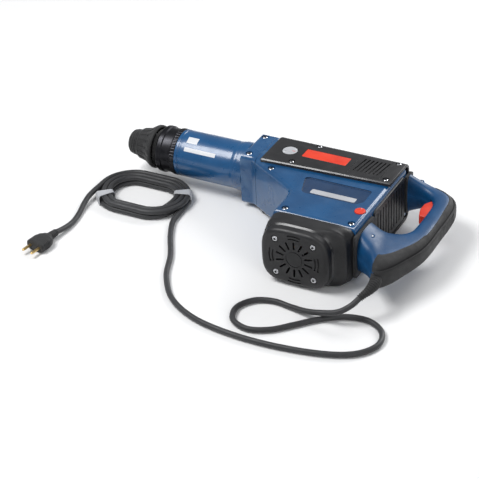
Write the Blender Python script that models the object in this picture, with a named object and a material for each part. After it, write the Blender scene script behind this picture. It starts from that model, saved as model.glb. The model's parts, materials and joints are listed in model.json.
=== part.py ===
"""A heavy rotary hammer that lies on its right side, with its cord coiled beside its nose.

The hammer's axis runs along X with the chuck at -X. The motor hangs towards -Y, the D-handle is at
+X, and the tool's left side faces up. Sizes are in millimetres and MM turns them into metres.
"""
import math

import bmesh
import bpy
from mathutils import Vector

MM = 0.001
GAP = 0.3  # between pieces that touch
SHARP = math.radians(35)  # an edge bent more than this stays sharp

# Driving dimensions
LENGTH = 610
AXIS_Y = 92  # height of the hammer's axis above the middle of the object's outline
AXIS_Z = 54  # half of the tool's thickness, so the tool lies on the floor
NOSE_X = -LENGTH / 2
REAR_X = LENGTH / 2
BARREL_R = 41
BODY_HALF = 48  # half thickness of the gear housing
COVER_WALL = 6
WALL = 4
BODY_FRONT_X = -70
BODY_REAR_X = 203
BODY_TOP_Y = 127
COVER_FRONT_X = -28
COVER_LOW_Y = 43  # the cover's lower edge at its front end
COVER_RISE = 11  # how far that edge climbs towards the rear
COVER_TOP_Y = 133.5
SEAM_Y = -84  # gear housing above, motor housing below
END_COVER_Y = -119
MOTOR_END_Y = -136
MOTOR_X = 120
MOTOR_HALF_X = 62
MOTOR_HALF_Z = 53.6
MOTOR_POWER = 3.4  # squareness of the motor's section: 2 is an ellipse
END_SCREW_X = 33
END_SCREW_Z = 31
BRUSH_LOW_Y = -108
BRUSH_HIGH_Y = -99
BRUSH_HALF = 4

# Hammer mechanism
SOCKET_R = 9.2  # the tool holder takes an 18 mm shank
HOLDER_FRONT_X = NOSE_X + 9
HOLDER_REAR_X = -118
HOLDER_R = 16.5
BAR_FRONT_X = -284  # locking bars that hold the shank
BAR_REAR_X = -268
BAR_HALF = 3
SPINDLE_R = 26
COLLAR_X = -240
COLLAR_REAR_X = -202
HOLDER_END_X = -206  # the spindle tube carries on behind the tool holder
CYLINDER_R = 17
CYLINDER_REAR_X = 26
CRANK_X = 72
CRANK_THROW = 13
ROD_LENGTH = 62
ROD_HALF = 4.5  # half the connecting rod's thickness
PISTON_PIN_X = CRANK_X + CRANK_THROW - ROD_LENGTH
PISTON_PIN_R = 4
CRANKSHAFT_R = 9
LAYSHAFT_R = 7
ARMATURE_R = 5
BALL_RACE_R = 13
GEAR_LOW_Y = 30
GEAR_HIGH_Y = 41
CRANK_GEAR_R = 40
PINION_TEETH = 6
CRANK_TEETH = 32
LAYSHAFT_TEETH = 12
BEVEL_TEETH = 8
SPINDLE_TEETH = 22
LAYSHAFT_X = 17
PLATE_LOW_Y = 4
PLATE_HIGH_Y = 12

# Controls, on the side that faces up
DIAL = (188, -33)
DIAL_R = 9
SELECTOR = (6, 88)
SELECTOR_R = 13
TRIGGER_PIVOT = (270, 92)
TRIGGER_LOW_Y = 51
TRIGGER_HIGH_Y = 100

# The handle: each station has its inner point, its outer point and its half thickness

PAD = 3.3
STATIONS = [
    ((208.3, 113), (208.3, 137), 34),
    ((224, 114), (226, 138), 26),
    ((238, 112), (248, 136), 20),
    ((251, 105), (275, 129), 18),
    ((260, 93), (293, 114), 18),
    ((264, 78), (302, 92), 18),
    ((265, 50), (305, 60), 18),
    ((265, 20), (305, 18), 18),
    ((263, -2), (305, -22), 18.5),
    ((256, -14), (301, -54), 20),
    ((246, -20), (290, -88), 22),
    ((236, -22), (276, -122), 24),
    ((227, -22), (258, -138), 26),
    ((217, -22), (234, -112), 30),
    ((208.3, -22), (208.3, -94), 36),
]
HANDLE_POWER = 3

# Cord
CORD_R = 4.7
FLOOR_Z = CORD_R + 0.4
COIL_X = -236
COIL_Y = 3
COIL_STRAIGHT = 24  # half the straight stretch of each turn
COIL_R = 47  # radius of the middle turn's round ends
COIL_TURNS_WIDE = 3
COIL_LAYERS = 2
PLUG_HALF_Z = 10
PLUG_Z = PLUG_HALF_Z + 0.3
CORD_STEP = 25  # distance between the points of the cord's tube

LEAD_ROUTE = [
    (251, -173, 43),
    (241, -187, 33),
    (223, -198, 23),
    (197, -201, 16.5),
    (168, -198, 9.5),
    (138, -191, FLOOR_Z),
    (108, -188, FLOOR_Z),
    (79, -199, FLOOR_Z),
    (63, -227, FLOOR_Z),
    (73, -258, FLOOR_Z),
    (104, -271, FLOOR_Z),
    (137, -259, FLOOR_Z),
    (165, -233, FLOOR_Z),
    (194, -204, FLOOR_Z),
    (229, -181, FLOOR_Z),
    (266, -176, FLOOR_Z),
    (296, -195, FLOOR_Z),
    (304, -229, FLOOR_Z),
    (283, -261, FLOOR_Z),
    (240, -281, FLOOR_Z),
    (170, -293, FLOOR_Z),
    (95, -294, FLOOR_Z),
    (20, -281, FLOOR_Z),
    (-40, -248, FLOOR_Z),
    (-80, -196, FLOOR_Z),
    (-104, -140, FLOOR_Z),
    (-133, -88, FLOOR_Z),
    (-150, -50, FLOOR_Z),
    (-153, -29, FLOOR_Z),
]
TAIL_ROUTE = [
    (-319, -38, 12),
    (-317, -62, 8),
    (-311, -88, FLOOR_Z),
    (-306, -115, FLOOR_Z),
    (-306, -140, 7.5),
    (-310, -163, PLUG_Z),
]
RELIEF_ROUTE = [
    (256, -122, AXIS_Z),
    (261, -140, AXIS_Z),
    (262, -151, 53),
    (258.6, -162, 49.4),
    (252.2, -171.4, 44.2),
]
RELIEF_RADII = [9.5, 9.5, 8.5, 7.2, 6.3]


# Tools for making solids

def clear_scene():
    for old in list(bpy.data.objects):
        bpy.data.objects.remove(old)


def material(name, colour, roughness, metallic=0.0):
    made = bpy.data.materials.new(name)
    made.use_nodes = True
    shader = made.node_tree.nodes["Principled BSDF"]
    shader.inputs["Base Color"].default_value = (*colour, 1)
    shader.inputs["Roughness"].default_value = roughness
    shader.inputs["Metallic"].default_value = metallic
    return made


def add_solid(name, rings, finish, pivot=(0, 0, 0), closed=False):
    """A closed solid skinned over rings of equally many points, in millimetres.

    Its first and last rings are capped, or they meet each other when it is closed."""
    build = bmesh.new()
    corners = [
        [build.verts.new((Vector(point) - Vector(pivot)) * MM) for point in ring] for ring in rings
    ]
    pairs = list(zip(corners, corners[1:]))
    if closed:
        pairs.append((corners[-1], corners[0]))
    for ring, following in pairs:
        for i, corner in enumerate(ring):
            j = (i + 1) % len(ring)
            build.faces.new((corner, ring[j], following[j], following[i]))
    if not closed:
        build.faces.new(corners[0])
        build.faces.new(corners[-1])
    bmesh.ops.recalc_face_normals(build, faces=build.faces)
    mesh = bpy.data.meshes.new(name)
    build.to_mesh(mesh)
    build.free()
    mesh.shade_smooth()
    mesh.set_sharp_from_angle(angle=SHARP)
    mesh.materials.append(finish)
    made = bpy.data.objects.new(name, mesh)
    made.location = Vector(pivot) * MM
    bpy.context.collection.objects.link(made)
    return made


def change(target, tool, operation):
    """Cut a tool out of a solid, or join it on, and hide the tool."""
    tool.hide_render = True
    tool.display_type = "WIRE"
    step = target.modifiers.new(tool.name, "BOOLEAN")
    step.operation = operation
    step.object = tool
    step.solver = "EXACT"


def cut(target, tool):
    change(target, tool, "DIFFERENCE")


def join(target, tool):
    change(target, tool, "UNION")


def about(axis, centre, along, radius, turn):
    """The point at a radius and a turn about an axis through a centre."""
    x, y, z = centre
    across, up = radius * math.cos(turn), radius * math.sin(turn)
    if axis == "X":
        return (x + along, y + across, z + up)
    if axis == "Y":
        return (x + across, y + along, z + up)
    return (x + across, y + up, z + along)


def turned(name, axis, centre, profile, finish, sides=20, hollow=False):
    """A solid turned about an axis from (along, radius) points.

    The profile of a hollow piece is a closed loop."""
    rings = [
        [about(axis, centre, along, radius, math.tau * i / sides) for i in range(sides)]
        for along, radius in profile
    ]
    return add_solid(name, rings, finish, centre, hollow)


def ring_profile(start, end, inner, outer, chamfer=0.8):
    return [
        (start, inner),
        (start, outer - chamfer),
        (start + chamfer, outer),
        (end - chamfer, outer),
        (end, outer - chamfer),
        (end, inner),
    ]


def ring(name, axis, centre, start, end, inner, outer, finish, sides=20):
    profile = ring_profile(start, end, inner, outer)
    return turned(name, axis, centre, profile, finish, sides, hollow=True)


def gear(name, axis, centre, start, end, bore, root, tip, teeth, finish, cone=0.0):
    """A toothed wheel; cone makes its end narrower than its start."""

    def toothed(along, shrink):
        radii = (root, root, tip, tip)
        return [
            about(axis, centre, along, radii[i % 4] - shrink, math.tau * i / (4 * teeth))
            for i in range(4 * teeth)
        ]

    def round_hole(along):
        return [
            about(axis, centre, along, bore, math.tau * i / (4 * teeth)) for i in range(4 * teeth)
        ]

    rings = [round_hole(start), toothed(start, 0), toothed(end, cone), round_hole(end)]
    return add_solid(name, rings, finish, centre, closed=True)


def box(name, low, high, finish, pivot=None):
    (x0, y0, z0), (x1, y1, z1) = low, high
    rings = [[(x0, y0, z), (x1, y0, z), (x1, y1, z), (x0, y1, z)] for z in (z0, z1)]
    return add_solid(name, rings, finish, pivot or low)


def rounded(corners, steps=3):
    """An outline whose corners, given as (x, y, radius), are arcs."""
    outline = []
    for i, (x, y, radius) in enumerate(corners):
        corner = Vector((x, y))
        if radius == 0:
            outline.append(corner)
            continue
        before = (Vector(corners[i - 1][:2]) - corner).normalized()
        after = (Vector(corners[(i + 1) % len(corners)][:2]) - corner).normalized()
        half = before.angle(after) / 2
        centre = corner + (before + after).normalized() * radius / math.sin(half)
        start = corner + before * radius / math.tan(half) - centre
        end = corner + after * radius / math.tan(half) - centre
        bend = math.pi - 2 * half
        for k in range(steps + 1):
            share = k / steps
            outline.append(
                centre
                + start * math.sin((1 - share) * bend) / math.sin(bend)
                + end * math.sin(share * bend) / math.sin(bend)
            )
    return outline


def offset(outline, distance):
    """An anticlockwise outline moved outwards by a distance."""
    moved = []
    for i, corner in enumerate(outline):
        before = (corner - outline[i - 1]).normalized()
        after = (outline[(i + 1) % len(outline)] - corner).normalized()
        first, second = Vector((before.y, -before.x)), Vector((after.y, -after.x))
        moved.append(corner + (first + second) * distance / (1 + first.dot(second)))
    return moved


def pillow(name, outline, low, high, round_edge, finish, steps=2):
    """An outline thickened from a low to a high level, with both its edges rounded."""
    quarter = [math.pi / 2 * k / steps for k in range(steps + 1)]
    edge = [(round_edge * (1 - math.sin(a)), round_edge * (1 - math.cos(a))) for a in quarter]
    levels = [(low + depth, inset) for depth, inset in edge[::-1]]
    levels += [(high - depth, inset) for depth, inset in edge]
    rings = [[(p.x, p.y, z) for p in offset(outline, -inset)] for z, inset in levels]
    return add_solid(name, rings, finish)


def smooth_route(points, step):
    """Points a step apart on a smooth curve through a route."""
    route = [Vector(p) for p in points]
    route = [2 * route[0] - route[1], *route, 2 * route[-1] - route[-2]]
    fine = []
    for a, b, c, d in zip(route, route[1:], route[2:], route[3:]):
        for k in range(20):
            t = k / 20
            fine.append(
                0.5 * (2 * b + (c - a) * t + (2 * a - 5 * b + 4 * c - d) * t**2
                       + (3 * b - a - 3 * c + d) * t**3)
            )
    fine.append(route[-2])
    lengths = [0.0]
    for a, b in zip(fine, fine[1:]):
        lengths.append(lengths[-1] + (b - a).length)
    count = max(2, round(lengths[-1] / step))
    spaced, at = [], 0
    for k in range(count + 1):
        wanted = lengths[-1] * k / count
        while at < len(fine) - 2 and lengths[at + 1] < wanted:
            at += 1
        share = (wanted - lengths[at]) / (lengths[at + 1] - lengths[at])
        spaced.append(fine[at].lerp(fine[at + 1], share))
    return spaced


def swept(name, points, radii, finish, sides=12):
    """A round bar along points, with a radius at each of them."""
    points = [Vector(p) for p in points]
    rings, side = [], None
    for i, point in enumerate(points):
        along = (points[min(i + 1, len(points) - 1)] - points[max(i - 1, 0)]).normalized()
        if side is None:
            side = along.orthogonal()
        side = (side - side.dot(along) * along).normalized()
        other = along.cross(side)
        turns = [math.tau * k / sides for k in range(sides)]
        rings.append(
            [point + (side * math.cos(t) + other * math.sin(t)) * radii[i] for t in turns]
        )
    return add_solid(name, rings, finish, points[0])


def cord_tube(name, route, finish):
    """A round cord along a route, as a curve with filled ends."""
    curve = bpy.data.curves.new(name, "CURVE")
    curve.dimensions = "3D"
    curve.bevel_depth = CORD_R * MM
    curve.bevel_resolution = 2
    curve.use_fill_caps = True
    points = smooth_route(route, CORD_STEP)
    line = curve.splines.new("POLY")
    line.points.add(len(points) - 1)
    for place, point in zip(line.points, points):
        place.co = (*(point * MM), 1)
    curve.materials.append(finish)
    made = bpy.data.objects.new(name, curve)
    bpy.context.collection.objects.link(made)
    return made


# The chuck at the nose

AXIS = (0, AXIS_Y, AXIS_Z)


def make_dust_cap():
    profile = [
        (NOSE_X, SOCKET_R + 0.8),
        (NOSE_X, 18),
        (NOSE_X + 2, 20.5),
        (NOSE_X + 9, 22.5),
        (NOSE_X + 18, 23.5),
        (NOSE_X + 19, 22.5),
        (NOSE_X + 19, HOLDER_R + GAP),
        (HOLDER_FRONT_X - GAP, HOLDER_R + GAP),
        (HOLDER_FRONT_X - GAP, SOCKET_R + 0.8),
    ]
    turned("dust_cap", "X", AXIS, profile, RUBBER, 24, hollow=True)


def make_tool_holder():
    step_x = COLLAR_X - 10
    profile = [
        (HOLDER_FRONT_X, SOCKET_R),
        (HOLDER_FRONT_X, HOLDER_R),
        (step_x, HOLDER_R),
        (step_x, 24),
        (COLLAR_X, 24),
        (COLLAR_X, SPINDLE_R),
        (HOLDER_END_X, SPINDLE_R),
        (HOLDER_END_X, SOCKET_R),
    ]
    holder = turned("tool_holder", "X", AXIS, profile, STEEL, 24, hollow=True)
    low = (BAR_FRONT_X - GAP, AXIS_Y - BAR_HALF - GAP, AXIS_Z - 24)
    high = (BAR_REAR_X + GAP, AXIS_Y + BAR_HALF + GAP, AXIS_Z + 24)
    slot = box("bar_slots", low, high, STEEL)
    cut(holder, slot)


def make_spindle_tube():
    start = HOLDER_END_X + GAP
    ring("spindle_tube", "X", AXIS, start, HOLDER_REAR_X, 14.3, SPINDLE_R, STEEL, 24)


def make_locking_bars():
    for side, sign in (("left", 1), ("right", -1)):
        levels = sorted((AXIS_Z + sign * 8, AXIS_Z + sign * 16.2))
        low = (BAR_FRONT_X, AXIS_Y - BAR_HALF, levels[0])
        high = (BAR_REAR_X, AXIS_Y + BAR_HALF, levels[1])
        box(f"locking_bar_{side}", low, high, STEEL)


def make_locking_sleeve():
    profile = [
        (-285.7, HOLDER_R + 0.6),
        (-285.7, 25.5),
        (-284, 27),
        (-268, 30.5),
        (-262, 34.5),
        (-256, 38),
        (-252, 38.5),
        (-250, 37.5),
        (-250, 34.6),
        (-262, 31),
        (-266, 24.5),
        (-273, 24.5),
        (-273, HOLDER_R + 0.6),
    ]
    turned("locking_sleeve", "X", AXIS, profile, RUBBER, 28, hollow=True)


def make_chuck_spring():
    turns, coil_r, wire_r, front, back = 2.5, 20.3, 1.4, -263.5, -252.5
    steps = 30
    points = [
        about(
            "X", AXIS, front + (back - front) * k / steps, coil_r, math.tau * turns * k / steps
        )
        for k in range(steps + 1)
    ]
    swept("chuck_spring", points, [wire_r] * len(points), SPRING_STEEL, sides=6)


# The collar, the barrel and the parts that turn inside them

def make_front_collar():
    profile = [
        (COLLAR_X, 27),
        (COLLAR_X, 39),
        (COLLAR_X + 0.5, 39.5),
        (COLLAR_X + 3, BARREL_R),
        (COLLAR_X + 11, BARREL_R),
        (COLLAR_X + 12, BARREL_R - 2),
        (COLLAR_X + 28, BARREL_R - 2),
        (COLLAR_X + 29, BARREL_R),
        (COLLAR_REAR_X, BARREL_R),
        (COLLAR_REAR_X, 36.3),
        (COLLAR_X + 9, 36.3),
        (COLLAR_X + 9, 27),
    ]
    turned("front_collar", "X", AXIS, profile, BLACK_METAL, 28, hollow=True)


def make_front_seal():
    start, end = COLLAR_X - 9.5, COLLAR_X - GAP
    ring("front_seal", "X", AXIS, start, end, SPINDLE_R + GAP, 31.6, RUBBER, 24)


def make_barrel():
    start, end = COLLAR_REAR_X + GAP, BODY_FRONT_X - GAP
    profile = [
        (start, 34),
        (start, BARREL_R - 1),
        (start + 1, BARREL_R),
        (end - 14, BARREL_R),
        (end - 12, BARREL_R + 2),
        (end, BARREL_R + 2),
        (end, 34),
    ]
    turned("barrel_tube", "X", AXIS, profile, BLUE, 28, hollow=True)


def make_hammer_cylinder():
    start = HOLDER_REAR_X + GAP
    profile = ring_profile(start, CYLINDER_REAR_X, CYLINDER_R, CYLINDER_R + 3.8)
    turned("hammer_cylinder", "X", AXIS, profile, STEEL, 24, hollow=True)


def make_spindle_gear():
    bore = CYLINDER_R + 3.8 + GAP
    gear("spindle_gear", "X", AXIS, -10, 4, bore, 27, 30.4, SPINDLE_TEETH, STEEL, cone=3)


def make_front_bearing():
    start = COLLAR_X + 12
    ring("front_bearing", "X", AXIS, start, start + 18, SPINDLE_R + GAP, 36, BEARING, 24)


def make_impact_bolt():
    profile = [
        (-200, 7.5),
        (-198.5, 8.8),
        (-162, 8.8),
        (-158, 13.8),
        (-138, 13.8),
        (-134, 8.5),
        (-123, 8.5),
        (-122, 7.5),
    ]
    turned("impact_bolt", "X", AXIS, profile, STEEL, 20)


def make_striker():
    profile = [(-100, 8.5), (-98.5, 10), (-86, 10), (-82, 16.6), (-54, 16.6), (-52, 15)]
    turned("striker", "X", AXIS, profile, STEEL, 20)


# The crank drive

def make_piston():
    front, back, radius = PISTON_PIN_X - 17, PISTON_PIN_X + 14, CYLINDER_R - 0.4
    profile = [
        (front, 1),
        (front, radius - 1),
        (front + 1, radius),
        (back, radius),
        (back, 13),
        (front + 8, 13),
        (front + 8, 1),
    ]
    piston = turned("piston", "X", AXIS, profile, STEEL, 24, hollow=True)
    low, high = (-CYLINDER_R - 3, PISTON_PIN_R + GAP), (CYLINDER_R + 3, PISTON_PIN_R + GAP)
    hole = turned("pin_hole", "Y", (PISTON_PIN_X, AXIS_Y, AXIS_Z), [low, high], STEEL, 16)
    cut(piston, hole)


def make_piston_pin():
    radius = PISTON_PIN_R
    profile = [(-14.5, radius - 0.6), (-14, radius), (14, radius), (14.5, radius - 0.6)]
    turned("piston_pin", "Y", (PISTON_PIN_X, AXIS_Y, AXIS_Z), profile, STEEL, 16)


def make_connecting_rod():
    pivot = (PISTON_PIN_X, AXIS_Y, AXIS_Z)
    crank_pin_x = CRANK_X + CRANK_THROW
    lean = math.radians(80)
    small = [math.tau / 4 * 2 + lean - 2 * lean * k / 6 for k in range(7)]
    large = [lean - 2 * lean * k / 6 for k in range(7)]
    outline = [(PISTON_PIN_X + 7.2 * math.cos(a), AXIS_Z + 7.2 * math.sin(a)) for a in small[::-1]]
    outline += [(crank_pin_x + 11 * math.cos(a), AXIS_Z + 11 * math.sin(a)) for a in large[::-1]]
    rings = [[(x, y, z) for x, z in outline] for y in (AXIS_Y - ROD_HALF, AXIS_Y + ROD_HALF)]
    rod = add_solid("connecting_rod", rings, STEEL, pivot)
    for name, x, radius in (("small_eye", PISTON_PIN_X, 4.4), ("big_eye", crank_pin_x, 6.4)):
        eye = turned(name, "Y", (x, AXIS_Y, AXIS_Z), [(-9, radius), (9, radius)], STEEL, 20)
        cut(rod, eye)


def make_crankshaft():
    centre = (CRANK_X, 0, AXIS_Z)
    disc_low, disc_high = 70, 84
    profile = [
        (PLATE_LOW_Y + 1, CRANKSHAFT_R - 1),
        (PLATE_LOW_Y + 2, CRANKSHAFT_R),
        (disc_low, CRANKSHAFT_R),
        (disc_low, 23),
        (disc_low + 1, 24),
        (disc_high - 1, 24),
        (disc_high, 23),
    ]
    crank = turned("crankshaft", "Y", centre, profile, STEEL, 32)
    pin_top = AXIS_Y - ROD_HALF - GAP
    pin = turned(
        "crank_pin",
        "Y",
        (CRANK_X + CRANK_THROW, 0, AXIS_Z),
        [(disc_high - 2, 6), (pin_top - 0.5, 6), (pin_top, 5.5)],
        STEEL,
        20,
    )
    join(crank, pin)


def make_drive_gears():
    low, high = GEAR_LOW_Y, GEAR_HIGH_Y
    gear(
        "crank_gear", "Y", (CRANK_X, 0, AXIS_Z), low, high, CRANKSHAFT_R + GAP, CRANK_GEAR_R - 2.5,
        CRANK_GEAR_R, CRANK_TEETH, STEEL,
    )
    centre = (LAYSHAFT_X, 0, AXIS_Z)
    bore = LAYSHAFT_R + GAP
    gear("layshaft_gear", "Y", centre, low, high, bore, 12, 14.6, LAYSHAFT_TEETH, STEEL)
    gear("bevel_pinion", "Y", centre, 47, 60.5, bore, 8.4, 10.6, BEVEL_TEETH, STEEL, cone=1)
    ring("safety_clutch", "Y", centre, high + GAP, 46.5, bore, 15, BEARING, 24)
    shaft = [(25, LAYSHAFT_R - 0.7), (25.7, LAYSHAFT_R), (60.5, LAYSHAFT_R), (61, LAYSHAFT_R - 0.6)]
    turned("layshaft", "Y", centre, shaft, STEEL, 20)


def make_gearbox_bearings():
    crank = (CRANK_X, 0, AXIS_Z)
    bore = CRANKSHAFT_R + GAP
    ring("crank_bearing_upper", "Y", crank, 55, 66, bore, 20, BEARING, 24)
    ring("crank_bearing_lower", "Y", crank, PLATE_LOW_Y, PLATE_HIGH_Y, bore, 16, BEARING, 24)
    motor = (MOTOR_X, 0, AXIS_Z)
    for name, low, high in (("upper", PLATE_LOW_Y, PLATE_HIGH_Y), ("lower", -125, -115)):
        ring(
            f"armature_bearing_{name}", "Y", motor, low, high, ARMATURE_R + GAP, BALL_RACE_R,
            BEARING, 24,
        )


def make_bearing_plate():
    corners = [(44, 13, 6), (196, 13, 6), (196, 95, 6), (44, 95, 6)]
    rings = [[(p.x, y, p.y) for p in rounded(corners, 2)] for y in (PLATE_LOW_Y, PLATE_HIGH_Y)]
    plate = add_solid("bearing_plate", rings, CAST)
    for name, x, radius in (("crank_seat", CRANK_X, 16), ("motor_seat", MOTOR_X, BALL_RACE_R)):
        span = [(PLATE_LOW_Y - 3, radius + GAP), (PLATE_HIGH_Y + 3, radius + GAP)]
        cut(plate, turned(name, "Y", (x, 0, AXIS_Z), span, CAST, 24))


# The motor

def make_armature():
    centre = (MOTOR_X, 0, AXIS_Z)
    shaft_profile = [
        (-126.5, ARMATURE_R - 0.6),
        (-126, ARMATURE_R),
        (GEAR_LOW_Y - 2, ARMATURE_R),
        (GEAR_LOW_Y - 2, ARMATURE_R - 0.8),
        (GEAR_HIGH_Y + 3, ARMATURE_R - 0.8),
    ]
    shaft = turned("armature_shaft", "Y", centre, shaft_profile, STEEL, 20)
    pinion = gear(
        "pinion_teeth", "Y", centre, GEAR_LOW_Y - 1, GEAR_HIGH_Y + 1, 3, 5.4, 7.4, PINION_TEETH, STEEL
    )
    join(shaft, pinion)
    bore = ARMATURE_R + GAP
    ring("armature_core", "Y", centre, -92, -38, bore, 27, CORE, 24)
    ring("commutator", "Y", centre, BRUSH_LOW_Y - 2, BRUSH_HIGH_Y + 2, bore, 14, COPPER, 24)
    disc = ring("fan", "Y", centre, -31, -28, bore, 40, BLACK, 24)
    blades = gear("fan_blades", "Y", centre, -28.5, -16, bore, 13, 39, 8, BLACK, cone=2)
    join(disc, blades)


def make_stator():
    ring("stator", "Y", (MOTOR_X, 0, AXIS_Z), -95, -35, 29, 43, CORE, 24)


def make_brushes():
    for side, sign in (("left", 1), ("right", -1)):
        near, far = (AXIS_Z + sign * reach for reach in (14.5, 33))
        levels = sorted((near, far))
        low = (MOTOR_X - BRUSH_HALF, BRUSH_LOW_Y, levels[0])
        high = (MOTOR_X + BRUSH_HALF, BRUSH_HIGH_Y, levels[1])
        box(f"carbon_brush_{side}", low, high, GRAPHITE)
        rings = []
        for reach, grow in ((18, 2.2), (36, 2.2), (36, 0.4), (18, 0.4)):
            z = AXIS_Z + sign * reach
            x0, x1 = MOTOR_X - BRUSH_HALF - grow, MOTOR_X + BRUSH_HALF + grow
            y0, y1 = BRUSH_LOW_Y - grow, BRUSH_HIGH_Y + grow
            rings.append([(x0, y0, z), (x1, y0, z), (x1, y1, z), (x0, y1, z)])
        add_solid(f"brush_holder_{side}", rings, BRASS, closed=True)


def squarish(centre_x, y, half_x, half_z, power, sides=32):
    """A ring between an ellipse and a rectangle, square to the motor's axis."""
    points = []
    for i in range(sides):
        across, up = math.cos(math.tau * i / sides), math.sin(math.tau * i / sides)
        x = centre_x + half_x * math.copysign(abs(across) ** (2 / power), across)
        z = AXIS_Z + half_z * math.copysign(abs(up) ** (2 / power), up)
        points.append((x, y, z))
    return points


def make_motor_housing():
    middle = (62 + BODY_REAR_X) / 2
    half = (BODY_REAR_X - 62) / 2
    levels = [
        (SEAM_Y - GAP, middle, half, 49, 7),
        (SEAM_Y - 7, middle, half, 53, 6),
        (SEAM_Y - 22, middle - 2, half - 2, 53.8, 5),
        (END_COVER_Y, MOTOR_X, MOTOR_HALF_X, MOTOR_HALF_Z, MOTOR_POWER),
    ]
    outer = [squarish(x, y, a, b, power) for y, x, a, b, power in levels]
    inner = [squarish(x, y, a - WALL, b - WALL, power) for y, x, a, b, power in levels[::-1]]
    add_solid("motor_housing", outer + inner, BLACK, closed=True)


def make_motor_end_cover():
    seam = END_COVER_Y - GAP
    levels = [(MOTOR_END_Y, 11), (MOTOR_END_Y + 1, 7), (MOTOR_END_Y + 4, 3), (seam - 5, 0.5), (seam, 0)]
    inner = [(MOTOR_END_Y + WALL, 14), (MOTOR_END_Y + 6, 8), (seam + 2, WALL)]
    rings, hollow = (
        [
            squarish(MOTOR_X, y, MOTOR_HALF_X - inset, MOTOR_HALF_Z - inset, MOTOR_POWER)
            for y, inset in sections
        ]
        for sections in (levels, inner)
    )
    cover = add_solid("motor_end_cover", rings, BLACK)
    cut(cover, add_solid("end_cover_hollow", hollow, BLACK))
    vents = 8
    for i in range(vents):
        turn = math.tau * (i + 0.5) / vents
        along = Vector((math.cos(turn), 0, math.sin(turn)))
        side = Vector((-along.z, 0, along.x)) * 2
        centre = Vector((MOTOR_X, 0, AXIS_Z))
        corners = [
            centre + along * 19 - side,
            centre + along * 35 - side,
            centre + along * 35 + side,
            centre + along * 19 + side,
        ]
        rings = [
            [corner + Vector((0, y, 0)) for corner in corners]
            for y in (MOTOR_END_Y - 3, MOTOR_END_Y + WALL + 3)
        ]
        cut(cover, add_solid(f"vent_{i + 1}", rings, BLACK))
    corners = [(x, z) for x in (-END_SCREW_X, END_SCREW_X) for z in (-END_SCREW_Z, END_SCREW_Z)]
    for i, (x, z) in enumerate(corners):
        centre = (MOTOR_X + x, MOTOR_END_Y, AXIS_Z + z)
        bore = [(-3, 5.3), (2, 5.3), (2, 2.5), (12, 2.5)]
        cut(cover, turned(f"screw_bore_{i + 1}", "Y", centre, bore, BLACK, 12))
        screw = [(-0.2, 4.2), (0.6, 5), (1.7, 5), (1.7, 2.2), (8, 2.2)]
        turned(f"end_cover_screw_{i + 1}", "Y", centre, screw, SCREW_STEEL, 12)


# The body

def make_gear_housing():
    front = BODY_FRONT_X
    outer = rounded([
        (front, 50, 0),
        (-48, 50, 12),
        (14, 12, 30),
        (54, -14, 20),
        (62, -40, 20),
        (62, SEAM_Y, 0),
        (BODY_REAR_X, SEAM_Y, 0),
        (BODY_REAR_X, BODY_TOP_Y, 10),
        (COVER_FRONT_X - GAP - 1, BODY_TOP_Y, 0),
        (COVER_FRONT_X - GAP - 1, COVER_TOP_Y + 0.5, 0),
        (front, COVER_TOP_Y + 0.5, 0),
    ])
    housing = pillow(
        "gear_housing", outer, AXIS_Z - BODY_HALF, AXIS_Z + BODY_HALF, 9, BLUE, steps=3
    )
    inner = rounded([
        (front + WALL, 54, 0),
        (-46, 54, 8),
        (16, 17, 26),
        (57, -10, 16),
        (66, -38, 16),
        (66, SEAM_Y - 10, 0),
        (BODY_REAR_X - WALL, SEAM_Y - 10, 0),
        (BODY_REAR_X - WALL, BODY_TOP_Y - WALL, 8),
        (front + WALL, BODY_TOP_Y - WALL, 0),
    ])
    reach = BODY_HALF - WALL
    cut(housing, pillow("housing_hollow", inner, AXIS_Z - reach, AXIS_Z + reach, 6, BLUE))
    mouth = [(front - 5, 34.5), (front + 12, 34.5)]
    cut(housing, turned("barrel_mouth", "X", AXIS, mouth, BLUE, 28))
    dial_seat = [(-2.2, DIAL_R + 0.4), (5, DIAL_R + 0.4)]
    cut(housing, turned("dial_seat", "Z", (*DIAL, AXIS_Z + BODY_HALF), dial_seat, BLUE, 20))


def cover_section(x, inset):
    """The top cover's section square to the hammer's axis, drawn in by an inset."""
    half = BODY_HALF + COVER_WALL
    inside = BODY_HALF + GAP
    low, high, roof = AXIS_Z - half, AXIS_Z + half, BODY_TOP_Y + GAP
    edge = COVER_LOW_Y + COVER_RISE * (x - COVER_FRONT_X) / (BODY_REAR_X - COVER_FRONT_X)
    section = rounded([
        (edge, low, 0),
        (COVER_TOP_Y, low, 15),
        (COVER_TOP_Y, high, 15),
        (edge, high, 0),
        (edge, AXIS_Z + inside, 0),
        (roof, AXIS_Z + inside, 7.5),
        (roof, AXIS_Z - inside, 7.5),
        (edge, AXIS_Z - inside, 0),
    ])
    return [(x, p.x, p.y) for p in offset(section, -inset)]


def make_top_cover():
    high = AXIS_Z + BODY_HALF + COVER_WALL
    ends = [
        (COVER_FRONT_X, 1.6),
        (COVER_FRONT_X + 1.6, 0),
        (BODY_REAR_X - 1.6, 0),
        (BODY_REAR_X, 1.6),
    ]
    cover = add_solid("top_cover", [cover_section(x, inset) for x, inset in ends], BLACK)
    seat = [(-2.5, SELECTOR_R + 0.4), (6, SELECTOR_R + 0.4)]
    cut(cover, turned("selector_seat", "Z", (*SELECTOR, high), seat, BLACK, 24))
    return high


def make_controls(cover_face):
    knob = [
        (-2.2, SELECTOR_R),
        (-0.5, SELECTOR_R),
        (-0.2, SELECTOR_R - 0.6),
    ]
    turned("mode_selector", "Z", (*SELECTOR, cover_face), knob, GREY, 24)
    dial = [(-1.9, DIAL_R), (0.9, DIAL_R), (1.5, DIAL_R - 0.6)]
    turned("speed_dial", "Z", (*DIAL, AXIS_Z + BODY_HALF), dial, RED, 20)


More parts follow.
